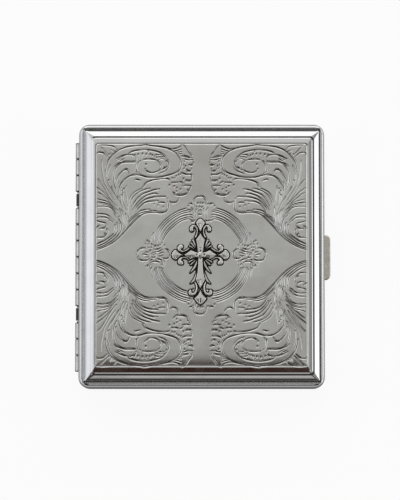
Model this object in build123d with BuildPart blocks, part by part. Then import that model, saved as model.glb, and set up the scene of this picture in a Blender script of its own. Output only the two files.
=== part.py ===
from build123d import *
import math
import os

# ---------------------------------------------------------------------------
# Two-sided king-size cigarette case, lying on its back with the lid up.
# +X runs from the hinge to the latch, +Y along the hinge towards the top edge,
# +Z out of the lid.  The parting plane and the hinge axis are at z = mid.
# "s" is a distance inwards from the outline of the case.
# ---------------------------------------------------------------------------

# ---- overall ----
body_w = 88.9            # across the hinge
body_h = 95.25           # along the hinge
thick = 19.0             # panel to panel, closed
mid = thick / 2
part_gap = 0.1           # each half stops this far short of the parting plane
corner_r = 4.0

# ---- frame section ----
wall_t = 0.65            # wall at the parting edge
wall_lean = 0.2          # outer face leans in by this much up to the shoulder
shoulder_d = 6.65        # where the shoulder starts, from the parting plane
rim_drop = 1.6           # rim lies this far below the panel
rim_w = 1.65             # rim width seen from the front
lip_t = 0.5

# ---- raised cover plate: (s, depth below the panel's crown) ----
plate_t = 0.4
crease_s = 1.9
bevel_s, bevel_drop = 4.4, 0.45
band_s, band_drop = 6.65, 0.12
crown_s = 20.0
plate_flange_s = 1.25

# ---- inner liner pan ----
liner_t = 0.2
liner_gap = 0.03

# ---- hinge ----
n_cells = 14
cell = 5.94
spring_cells = (4, 11)   # counted from the top edge
knuckle_r = 1.15
knuckle_bore_r = 0.58
hinge_pin_r = 0.55
hinge_out = 0.10         # axis stands this far outside the outline
leaf_t = 0.4
leaf_depth = 5.2         # leaf height from the parting plane
knuckle_gap = 0.16
neck_r = 1.02             # each knuckle is turned down a little at both ends
neck_len = 0.11
notch_d = 1.35           # wall is cut back this far for the knuckles
hinge_spring_wire = 0.34

# ---- latch ----
button_out = 2.2
button_len = 16.2
button_z0, button_z1 = 5.7, 8.5
latch_travel = 1.1
slot_clear = 0.2
slide_s0, slide_s1 = 0.85, 1.35
hook_s1 = 1.85
hook_half = 3.0
nose_s = 0.75
nose_z = 10.75

# ---- retaining arms ----
arm_pivot_s = 3.2
arm_pivot_d = 1.1        # pivot below the parting plane
arm_eye_r = 0.85
arm_bore_r = 0.5
arm_pin_r = 0.45
arm_t = 0.4
arm_end_s = 7.0          # arm stops this far from the latch side
arm_half = 5.0

# ---- derived ----
hinge_side = knuckle_r + hinge_out
xc = (hinge_side - button_out) / 2      # centre of the case body
XL = xc - body_w / 2
XR = xc + body_w / 2
x_axis = XL - hinge_out
half_h = body_h / 2
rim_z = thick - rim_drop
pivot_x = XL + arm_pivot_s
hinge_len = n_cells * cell
MIDPLANE = Plane.XY.offset(mid)

os.makedirs("parts", exist_ok=True)


def write(builder, name):
    builder.part.label = name
    export_step(builder.part, f"parts/{name}.step")


def inset_rect(s, r):
    RectangleRounded(body_w - 2 * s, body_h - 2 * s, r)


def at(z):
    return Plane(origin=(xc, 0, z))


def is_lid_cell(i):
    # knuckles alternate back, lid, back ...; the spring cells are skipped
    order = [k for k in range(1, n_cells + 1) if k not in spring_cells]
    return i in order and order.index(i) % 2 == 1


def is_back_cell(i):
    order = [k for k in range(1, n_cells + 1) if k not in spring_cells]
    return i in order and order.index(i) % 2 == 0


def cell_top(i):
    return hinge_len / 2 - (i - 1) * cell


# ===========================================================================
# Frames: leaning wall, rounded rim with an inward lip
# ===========================================================================
rim_d = mid - rim_drop                  # top of the rim from the parting plane
round_r = rim_d - shoulder_d            # the shoulder and rim are one round
rim_end = shoulder_d + (round_r ** 2 - (rim_w - wall_lean - round_r) ** 2) ** 0.5

with BuildPart() as lid_frame:
    with BuildLine(at(mid)) as outline:
        hw, hh, r = body_w / 2, half_h, corner_r
        e1 = Line((0, -hh), (hw - r, -hh))
        c1 = TangentArc(e1 @ 1, (hw, -hh + r), tangent=e1 % 1)
        e2 = Line(c1 @ 1, (hw, hh - r))
        c2 = TangentArc(e2 @ 1, (hw - r, hh), tangent=e2 % 1)
        e3 = Line(c2 @ 1, (-hw + r, hh))
        c3 = TangentArc(e3 @ 1, (-hw, hh - r), tangent=e3 % 1)
        e4 = Line(c3 @ 1, (-hw, -hh + r))
        c4 = TangentArc(e4 @ 1, (-hw + r, -hh), tangent=e4 % 1)
        Line(c4 @ 1, (0, -hh))
    with BuildSketch(Plane(origin=(xc, -half_h, mid), x_dir=(0, -1, 0), z_dir=(-1, 0, 0))):
        with BuildLine():
            l1 = Line((-wall_t, part_gap), (0, part_gap))
            l2 = Line(l1 @ 1, (-wall_lean, shoulder_d))
            a1 = ThreePointArc(l2 @ 1, (-wall_lean - 0.2929 * round_r, shoulder_d + 0.7071 * round_r), (-rim_w, rim_end))
            l4 = Line(a1 @ 1, (-rim_w, rim_d - lip_t))
            l5 = Line(l4 @ 1, (-wall_t - 0.4, rim_d - lip_t))
            a2 = ThreePointArc(l5 @ 1, (-wall_t - 0.12, rim_d - lip_t - 0.12), (-wall_t, rim_d - lip_t - 0.4))
            Line(a2 @ 1, l1 @ 0)
        make_face()
    sweep(path=outline.wires()[0])
    # crisp inner corners of the rim opening
    with BuildSketch(at(rim_z - lip_t - 0.01)):
        inset_rect(rim_w, 0.45)
    extrude(amount=lip_t + 0.1, mode=Mode.SUBTRACT)
    # wall cut back along the hinge
    with BuildSketch(Plane(origin=(XL, 0, mid))):
        Rectangle(2 * (wall_t + 0.3), hinge_len + 0.3)
    extrude(amount=notch_d, mode=Mode.SUBTRACT)
write(lid_frame, "lid_frame")

with BuildPart() as back_frame:
    mirror(lid_frame.part, about=MIDPLANE)
    # window for the latch button in the right-hand wall
    with BuildSketch(Plane(origin=(XR - 1.2, 0, (button_z0 + button_z1) / 2), x_dir=(0, 1, 0), z_dir=(1, 0, 0))):
        RectangleRounded(button_len + 2 * slot_clear, button_z1 - button_z0 + 2 * slot_clear, 0.4)
    extrude(amount=2.0, mode=Mode.SUBTRACT)
write(back_frame, "back_frame")

# ===========================================================================
# Cross ornament: cast flowering cross with two studs through the lid plate
# ===========================================================================
cross_top, cross_bottom, cross_side = 12.8, 18.2, 10.35
cross_h = 1.0
cross_x, cross_y = xc - 0.45, -0.11
stud_r = 0.6
stud_y = 6.0
CROSS = Plane(origin=(cross_x, cross_y, thick))

with BuildPart() as cross_ornament:
    # cast in two steps: the full outline, then the raised limbs and scrolls
    for z_step, h_step, slim in ((0.0, 0.65, 0.0), (0.65, 0.35, 0.4)):
        with BuildSketch(CROSS.offset(z_step)):
            # tapered limbs
            Polygon((-0.95 + slim, -cross_bottom + 4.5), (0.95 - slim, -cross_bottom + 4.5), (1.5 - slim, 0),
                    (0.95 - slim, cross_top - 4.2), (-0.95 + slim, cross_top - 4.2), (-1.5 + slim, 0), align=None)
            Polygon((-cross_side + 3.8, 0.9 - slim), (0, 1.45 - slim), (cross_side - 3.8, 0.9 - slim),
                    (cross_side - 3.8, -0.9 + slim), (0, -1.45 + slim), (-cross_side + 3.8, -0.9 + slim), align=None)
            Circle(2.7 - slim)
            # leaf tufts in the four crotches
            with PolarLocations(2.9, 4, 45):
                Ellipse(1.5 - slim, 0.8 - slim)
            # flowering ends: a pointed petal between two scrolls
            for ang, reach in ((90, cross_top), (270, cross_bottom), (0, cross_side), (180, cross_side)):
                c, sn = math.cos(math.radians(ang)), math.sin(math.radians(ang))

                def turn(u, v):
                    return (u * c - v * sn, u * sn + v * c)

                Polygon(turn(reach - slim, 0), turn(reach - 2.3, 1.35 - slim), turn(reach - 5.0, 0.75 - slim / 2),
                        turn(reach - 5.0, -0.75 + slim / 2), turn(reach - 2.3, -1.35 + slim), align=None)
                with Locations(turn(reach - 3.6, 2.15), turn(reach - 3.6, -2.15)):
                    Circle(1.45 - slim)
                with Locations(turn(reach - 5.1, 0)):
                    Circle(1.45 - slim)
        extrude(amount=h_step)
    # centre boss
    with BuildSketch(CROSS.offset(cross_h - 0.05)):
        Circle(1.5)
    extrude(amount=0.35, taper=35)
    # studs
    with BuildSketch(Plane(origin=(cross_x, cross_y, thick - plate_t))):
        with Locations((0, stud_y), (0, -stud_y)):
            Circle(stud_r)
    extrude(amount=plate_t + 0.1)
write(cross_ornament, "cross_ornament")

# ===========================================================================
# Raised cover plates: flange behind the lip, steep bevel, flatter band, crown
# ===========================================================================
with BuildPart() as lid_cover_plate:
    for s, z, r in ((crease_s, rim_z - lip_t, 0.4), (crease_s, rim_z, 0.4),
                    (bevel_s, thick - bevel_drop, 0.3), (band_s, thick - band_drop, 0.25),
                    (crown_s, thick, 0.2)):
        with BuildSketch(at(z)):
            inset_rect(s, r)
    loft(ruled=True)
    with BuildSketch(at(rim_z - lip_t - plate_t)):
        inset_rect(plate_flange_s, 2.0)
    extrude(amount=plate_t)
    hollow_s = crease_s + 0.35
    for s, z, r in ((hollow_s, rim_z - lip_t - plate_t, 0.3), (hollow_s, rim_z - plate_t, 0.3),
                    (bevel_s + 0.12, thick - bevel_drop - plate_t, 0.25),
                    (band_s + 0.05, thick - band_drop - plate_t, 0.2),
                    (crown_s, thick - plate_t, 0.2)):
        with BuildSketch(at(z)):
            inset_rect(s, r)
    loft(ruled=True, mode=Mode.SUBTRACT)
    # stud holes for the cross
    with Locations((cross_x, cross_y + stud_y, thick), (cross_x, cross_y - stud_y, thick)):
        Hole(stud_r + 0.03, depth=2.0)
write(lid_cover_plate, "lid_cover_plate")

with BuildPart() as back_cover_plate:
    for s, z, r in ((crease_s, rim_z - lip_t, 0.4), (crease_s, rim_z, 0.4),
                    (bevel_s, thick - bevel_drop, 0.3), (band_s, thick - band_drop, 0.25),
                    (crown_s, thick, 0.2)):
        with BuildSketch(at(thick - z)):
            inset_rect(s, r)
    loft(ruled=True)
    with BuildSketch(at(thick - (rim_z - lip_t))):
        inset_rect(plate_flange_s, 2.0)
    extrude(amount=plate_t)
    for s, z, r in ((hollow_s, rim_z - lip_t - plate_t, 0.3), (hollow_s, rim_z - plate_t, 0.3),
                    (bevel_s + 0.12, thick - bevel_drop - plate_t, 0.25),
                    (band_s + 0.05, thick - band_drop - plate_t, 0.2),
                    (crown_s, thick - plate_t, 0.2)):
        with BuildSketch(at(thick - z)):
            inset_rect(s, r)
    loft(ruled=True, mode=Mode.SUBTRACT)
write(back_cover_plate, "back_cover_plate")

# ===========================================================================
# Liner pans: thin inner sheets that hold each plate's flange to its frame
# ===========================================================================
with BuildPart() as lid_liner:
    lift = plate_t + liner_gap
    flange_z = rim_z - lip_t - plate_t
    outer_s = hollow_s + 0.05
    for s, z, r in ((outer_s, flange_z, 0.3), (outer_s, rim_z - lift, 0.3),
                    (bevel_s + 0.17, thick - bevel_drop - lift, 0.25),
                    (band_s + 0.08, thick - band_drop - lift, 0.2),
                    (crown_s, thick - lift, 0.2)):
        with BuildSketch(at(z)):
            inset_rect(s, r)
    loft(ruled=True)
    with BuildSketch(at(flange_z - liner_t)):
        inset_rect(plate_flange_s, 2.0)
    extrude(amount=liner_t)
    drop = lift + liner_t
    for s, z, r in ((outer_s + liner_t, flange_z - liner_t, 0.25), (outer_s + liner_t, rim_z - drop, 0.25),
                    (bevel_s + 0.24, thick - bevel_drop - drop, 0.2),
                    (band_s + 0.10, thick - band_drop - drop, 0.2),
                    (crown_s, thick - drop, 0.2)):
        with BuildSketch(at(z)):
            inset_rect(s, r)
    loft(ruled=True, mode=Mode.SUBTRACT)
write(lid_liner, "lid_liner")

with BuildPart() as back_liner:
    mirror(lid_liner.part, about=MIDPLANE)
write(back_liner, "back_liner")

# ===========================================================================
# Hinge: two rolled leaves on one long pin, with a torsion spring in two cells
# ===========================================================================
leaf_x0 = XL + wall_t                       # outer face of the leaf
leaf_x1 = x_axis + knuckle_r                # inner face, tangent to the knuckles

with BuildPart() as back_hinge_leaf:
    with BuildSketch(Plane(origin=((leaf_x0 + leaf_x1) / 2, 0, mid - leaf_depth))):
        Rectangle(leaf_x1 - leaf_x0, hinge_len - knuckle_gap)
    extrude(amount=leaf_depth - notch_d + 0.1)
    for i in range(1, n_cells + 1):
        if is_back_cell(i):
            with BuildSketch(Plane.XZ.offset(-(cell_top(i) - knuckle_gap / 2))):
                with Locations((x_axis, mid)):
                    Circle(neck_r)
                with Locations(((leaf_x0 + leaf_x1) / 2, mid - notch_d / 2 - 0.05)):
                    Rectangle(leaf_x1 - leaf_x0, notch_d + 0.1)
                with Locations((x_axis, mid)):
                    Circle(knuckle_bore_r, mode=Mode.SUBTRACT)
            extrude(amount=cell - knuckle_gap)
            with BuildSketch(Plane.XZ.offset(-(cell_top(i) - knuckle_gap / 2 - neck_len))):
                with Locations((x_axis, mid)):
                    Circle(knuckle_r)
                    Circle(knuckle_bore_r, mode=Mode.SUBTRACT)
            extrude(amount=cell - knuckle_gap - 2 * neck_len)
write(back_hinge_leaf, "back_hinge_leaf")

with BuildPart() as lid_hinge_leaf:
    with BuildSketch(Plane(origin=((leaf_x0 + leaf_x1) / 2, 0, mid + notch_d - 0.1))):
        Rectangle(leaf_x1 - leaf_x0, hinge_len - knuckle_gap)
    extrude(amount=leaf_depth - notch_d + 0.1)
    for i in range(1, n_cells + 1):
        if is_lid_cell(i):
            with BuildSketch(Plane.XZ.offset(-(cell_top(i) - knuckle_gap / 2))):
                with Locations((x_axis, mid)):
                    Circle(neck_r)
                with Locations(((leaf_x0 + leaf_x1) / 2, mid + notch_d / 2 + 0.05)):
                    Rectangle(leaf_x1 - leaf_x0, notch_d + 0.1)
                with Locations((x_axis, mid)):
                    Circle(knuckle_bore_r, mode=Mode.SUBTRACT)
            extrude(amount=cell - knuckle_gap)
            with BuildSketch(Plane.XZ.offset(-(cell_top(i) - knuckle_gap / 2 - neck_len))):
                with Locations((x_axis, mid)):
                    Circle(knuckle_r)
                    Circle(knuckle_bore_r, mode=Mode.SUBTRACT)
            extrude(amount=cell - knuckle_gap - 2 * neck_len)
write(lid_hinge_leaf, "lid_hinge_leaf")

with BuildPart() as hinge_pin:
    with BuildSketch(Plane.XZ.offset(-hinge_len / 2)):
        with Locations((x_axis, mid)):
            Circle(hinge_pin_r)
    extrude(amount=hinge_len)
    fillet(hinge_pin.edges().filter_by(GeomType.CIRCLE), radius=0.2)
write(hinge_pin, "hinge_pin")

# each torsion spring: a close coil round the pin, one leg into each half
coil_r0 = hinge_pin_r + 0.06
coil_r1 = coil_r0 + hinge_spring_wire
coil_turns = 14


def coil_points(x0, y_lo, r_in, wire, turns):
    """Points of a close-wound coil's scalloped section, on one side of its axis."""
    pts = [(x0 + r_in, y_lo), (x0 + r_in + wire * 0.55, y_lo)]
    for k in range(turns):
        ya = y_lo + k * wire
        pts += [(x0 + r_in + wire * 0.86, ya + wire * 0.18), (x0 + r_in + wire, ya + wire * 0.5),
                (x0 + r_in + wire * 0.86, ya + wire * 0.82), (x0 + r_in + wire * 0.55, ya + wire)]
    pts.append((x0 + r_in, y_lo + turns * wire))
    return pts


with BuildPart() as hinge_spring_upper:
    y_mid = cell_top(spring_cells[0]) - cell / 2
    y_lo = y_mid - coil_turns * hinge_spring_wire / 2
    y_hi = y_mid + coil_turns * hinge_spring_wire / 2
    with BuildSketch(Plane(origin=(0, 0, mid))):
        with BuildLine():
            Polyline(coil_points(x_axis, y_lo, coil_r0, hinge_spring_wire, coil_turns), close=True)
        make_face()
    revolve(axis=Axis((x_axis, 0, mid), (0, 1, 0)))
    leg_r = hinge_spring_wire / 2
    coil_m = (coil_r0 + coil_r1) / 2
    for y_leg, up in ((y_lo + leg_r, -1), (y_hi - leg_r, 1)):
        with BuildLine() as leg:
            FilletPolyline((x_axis + coil_m, y_leg, mid), (x_axis + coil_m + 0.1, y_leg, mid + up * 0.7),
                           (leaf_x1 + 0.32, y_leg, mid + up * 1.6), (leaf_x1 + 0.32, y_leg, mid + up * 4.2),
                           radius=0.4)
        with BuildSketch(Plane(origin=leg.line @ 0, z_dir=leg.line % 0)):
            Circle(leg_r * 0.98)
        sweep(path=leg.wires()[0])
write(hinge_spring_upper, "hinge_spring_upper")

with BuildPart() as hinge_spring_lower:
    mirror(hinge_spring_upper.part, about=Plane.XZ)
write(hinge_spring_lower, "hinge_spring_lower")

# ===========================================================================
# Latch: outside button, inside slide with a hook, guide bracket, two springs,
# and a catch plate with a window on the lid
# ===========================================================================
with BuildPart() as latch_button:
    with BuildSketch(at(button_z0)):
        with Locations((body_w / 2 + (button_out - slide_s0) / 2, 0)):
            Rectangle(button_out + slide_s0, button_len)
    extrude(amount=button_z1 - button_z0)
    tips = latch_button.edges().filter_by(Axis.Z).group_by(Axis.X)[-1]
    fillet(tips, radius=1.75)
    fillet(latch_button.faces().sort_by(Axis.Z)[-1].edges().group_by(Axis.X)[-1], radius=0.35)
    fillet(latch_button.faces().sort_by(Axis.Z)[0].edges().group_by(Axis.X)[-1], radius=0.35)
write(latch_button, "latch_button")

slide_len = 21.0
with BuildPart() as latch_slide:
    with BuildSketch(Plane(origin=(XR - slide_s1, 0, (button_z0 + button_z1) / 2 - 0.15), x_dir=(0, 1, 0), z_dir=(1, 0, 0))):
        RectangleRounded(slide_len, 3.9, 0.6)
    extrude(amount=slide_s1 - slide_s0)
    # hook plate rising into the lid, its nose pointing outwards
    with BuildSketch(Plane.XZ.offset(-hook_half)):
        with BuildLine():
            Polyline((XR - hook_s1, 5.2), (XR - hook_s1, 11.7), (XR - slide_s1 - 0.05, 11.7),
                     (XR - nose_s - 0.12, 10.95), (XR - nose_s, 10.9), (XR - nose_s, nose_z),
                     (XR - slide_s1, nose_z), (XR - slide_s1, 5.2), (XR - hook_s1, 5.2))
        make_face()
    extrude(amount=2 * hook_half)
write(latch_slide, "latch_slide")

guide_s0, guide_s1 = 4.3, 4.7
guide_z0, guide_z1 = 4.4, 8.9
guide_half = 11.4
with BuildPart() as latch_guide:
    # back web, floor, two ends and two feet on the wall
    with BuildSketch(at(guide_z0)):
        with Locations((body_w / 2 - (wall_t + guide_s1) / 2, 0)):
            Rectangle(guide_s1 - wall_t, 2 * guide_half)
        with Locations((body_w / 2 - wall_t - 0.2, 0)):
            Rectangle(0.4, 2 * (guide_half + 4.5))
    extrude(amount=guide_z1 - guide_z0)
    with BuildSketch(at(guide_z0 + 0.4)):
        with Locations((body_w / 2 - (wall_t + guide_s0) / 2 + 0.5, 0)):
            Rectangle(guide_s0 - wall_t + 1.0, 2 * (guide_half - 0.4))
    extrude(amount=guide_z1, mode=Mode.SUBTRACT)
    # spring seats pressed in the web
    with BuildSketch(Plane(origin=(XR - guide_s0, 0, 6.95), x_dir=(0, 1, 0), z_dir=(1, 0, 0))):
        with Locations((7.3, 0), (-7.3, 0)):
            Circle(0.75)
    extrude(amount=0.5, taper=10)
write(latch_guide, "latch_guide")

latch_spring_r, latch_wire, latch_coils = 1.35, 0.3, 5
with BuildPart() as latch_springs:
    length = guide_s0 - slide_s1
    pitch = length / latch_coils
    with BuildSketch(Plane.XY.offset(6.95)):
        with BuildLine():
            x0 = XR - guide_s0
            for k in range(latch_coils):
                xa = x0 + k * pitch
                Line((xa, 7.3 + latch_spring_r - 0.28), (xa + pitch / 2, 7.3 + latch_spring_r))
                Line((xa + pitch / 2, 7.3 + latch_spring_r), (xa + pitch, 7.3 + latch_spring_r - 0.28))
            Polyline((x0 + length, 7.3 + latch_spring_r - 0.28), (x0 + length, 7.3 + latch_spring_r - 0.5),
                     (x0, 7.3 + latch_spring_r - 0.5), (x0, 7.3 + latch_spring_r - 0.28))
        make_face()
    revolve(axis=Axis((0, 7.3, 6.95), (1, 0, 0)))
    mirror(about=Plane.XZ)
write(latch_springs, "latch_springs")

with BuildPart() as lid_catch:
    with BuildSketch(Plane(origin=(XR - wall_t - 0.5, 0, mid), x_dir=(0, 1, 0), z_dir=(1, 0, 0))):
        with Locations((0, 0.25 + 1.95)):
            RectangleRounded(15.0, 3.9, 0.6)
        with Locations((0, 1.05 + 0.65)):
            Rectangle(2 * hook_half + 1.2, 1.3, mode=Mode.SUBTRACT)
    extrude(amount=0.5)
write(lid_catch, "lid_catch")

# ===========================================================================
# Spring-loaded retaining arms, one for each layer
# ===========================================================================
pivot_z = mid - arm_pivot_d
arm_z1 = pivot_z + arm_eye_r               # face of the arm by the parting plane
arm_z0 = arm_z1 - arm_t
arm_x1 = XR - arm_end_s

with BuildPart() as back_arm:
    with BuildSketch(Plane.XY.offset(arm_z0)):
        with BuildLine():
            Polyline((pivot_x, -arm_half), (arm_x1 - 14, -arm_half), (arm_x1 - 9, -7.0), (arm_x1, -7.0),
                     (arm_x1, 7.0), (arm_x1 - 9, 7.0), (arm_x1 - 14, arm_half), (pivot_x, arm_half),
                     (pivot_x, -arm_half))
        make_face()
        fillet(vertices().group_by(Axis.X)[-1], radius=5.0)
        # clearance for the spring coil, and two long lightening slots
        with Locations((pivot_x, 0)):
            Rectangle(2.6, 6.0, mode=Mode.SUBTRACT)
        with Locations(((pivot_x + arm_x1) / 2 - 20, 0), ((pivot_x + arm_x1) / 2 + 12, 0)):
            SlotOverall(26.0, 3.0, mode=Mode.SUBTRACT)
    extrude(amount=arm_t)
    for y_eye in (arm_half, -3.2):
        with BuildSketch(Plane.XZ.offset(-y_eye)):
            with Locations((pivot_x, pivot_z)):
                Circle(arm_eye_r)
        extrude(amount=arm_half - 3.2)
    with BuildSketch(Plane.XZ.offset(-8)):
        with Locations((pivot_x, pivot_z)):
            Circle(arm_bore_r)
    extrude(amount=16, mode=Mode.SUBTRACT)
write(back_arm, "back_arm")

with BuildPart() as back_arm_pin:
    with BuildSketch(Plane.XZ.offset(-6.4)):
        with Locations((pivot_x, pivot_z)):
            Circle(arm_pin_r)
    extrude(amount=12.8)
    with BuildSketch(Plane.XZ.offset(-6.7)):
        with Locations((pivot_x, pivot_z)):
            Circle(0.75)
    extrude(amount=0.45)
    with BuildSketch(Plane.XZ.offset(6.25)):
        with Locations((pivot_x, pivot_z)):
            Circle(0.75)
    extrude(amount=0.45)
write(back_arm_pin, "back_arm_pin")

with BuildPart() as back_arm_bracket:
    # web on the hinge leaf
    with BuildSketch(Plane(origin=(leaf_x1 + 0.2, 0, 4.6))):
        Rectangle(0.4, 12.4)
    extrude(amount=9.1 - 4.6)
    # two lugs
    for y_lug in (6.2, -5.7):
        with BuildSketch(Plane.XZ.offset(-y_lug)):
            with BuildLine():
                Polyline((leaf_x1, 9.1), (leaf_x1, 5.4), (pivot_x + 0.2, 7.35), (pivot_x + 0.8, 7.9),
                         (pivot_x + 0.8, 9.1), (leaf_x1, 9.1))
            make_face()
            with Locations((pivot_x, pivot_z)):
                Circle(arm_pin_r + 0.02, mode=Mode.SUBTRACT)
        extrude(amount=0.5)
write(back_arm_bracket, "back_arm_bracket")

arm_spring_wire = 0.28
with BuildPart() as back_arm_spring:
    turns = 20
    r_in = arm_pin_r + 0.05
    y0 = -turns * arm_spring_wire / 2
    with BuildSketch(Plane(origin=(0, 0, pivot_z))):
        with BuildLine():
            Polyline(coil_points(pivot_x, y0, r_in, arm_spring_wire, turns), close=True)
        make_face()
    revolve(axis=Axis((pivot_x, 0, pivot_z), (0, 1, 0)))
    # fixed leg, down against the bracket's web
    coil_c = r_in + arm_spring_wire / 2
    with BuildLine() as leg2:
        Polyline((pivot_x - coil_c, y0 + arm_spring_wire / 2, pivot_z), (leaf_x1 + 0.4 + arm_spring_wire / 2 + 0.02, y0 + arm_spring_wire / 2, 5.4))
    with BuildSketch(Plane(origin=leg2.line @ 0, z_dir=leg2.line % 0)):
        Circle(arm_spring_wire / 2 * 0.97)
    sweep(path=leg2.wires()[0])
write(back_arm_spring, "back_arm_spring")

with BuildPart() as lid_arm:
    mirror(back_arm.part, about=MIDPLANE)
write(lid_arm, "lid_arm")

with BuildPart() as lid_arm_pin:
    mirror(back_arm_pin.part, about=MIDPLANE)
write(lid_arm_pin, "lid_arm_pin")

with BuildPart() as lid_arm_bracket:
    mirror(back_arm_bracket.part, about=MIDPLANE)
write(lid_arm_bracket, "lid_arm_bracket")

with BuildPart() as lid_arm_spring:
    mirror(back_arm_spring.part, about=MIDPLANE)
write(lid_arm_spring, "lid_arm_spring")

print("body centre x", round(xc, 4), "hinge axis x", round(x_axis, 4), "arm pivot", round(pivot_x, 4), round(pivot_z, 4))
print("XL", round(XL, 4), "XR", round(XR, 4))
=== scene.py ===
import math

import bpy
import numpy as np
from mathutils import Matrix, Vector


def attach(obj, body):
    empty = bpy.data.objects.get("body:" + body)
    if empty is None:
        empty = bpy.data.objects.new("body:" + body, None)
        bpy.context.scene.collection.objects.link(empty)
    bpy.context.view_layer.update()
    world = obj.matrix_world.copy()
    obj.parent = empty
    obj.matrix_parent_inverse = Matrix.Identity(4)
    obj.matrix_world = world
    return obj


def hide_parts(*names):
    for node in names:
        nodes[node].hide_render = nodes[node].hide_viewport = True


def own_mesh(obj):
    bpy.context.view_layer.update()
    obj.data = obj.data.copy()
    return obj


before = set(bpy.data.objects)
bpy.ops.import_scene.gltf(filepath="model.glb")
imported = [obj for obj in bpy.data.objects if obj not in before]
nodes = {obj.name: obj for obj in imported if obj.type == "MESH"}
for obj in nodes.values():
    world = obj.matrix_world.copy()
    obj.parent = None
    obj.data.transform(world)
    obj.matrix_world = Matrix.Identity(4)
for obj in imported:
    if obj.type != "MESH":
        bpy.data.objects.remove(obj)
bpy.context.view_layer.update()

MM = 0.001

# ---------------------------------------------------------------------------
# Two-sided cigarette case lying on its back, lid up.  Everything below is
# written in millimetres and scaled once.  (cx0, 0) is the centre of the body.
# ---------------------------------------------------------------------------
cx0 = -0.475
HW, HH = 44.45, 47.625
MID = 9.5
TOP = 19.0
AXIS_X = cx0 - HW - 0.10

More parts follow.
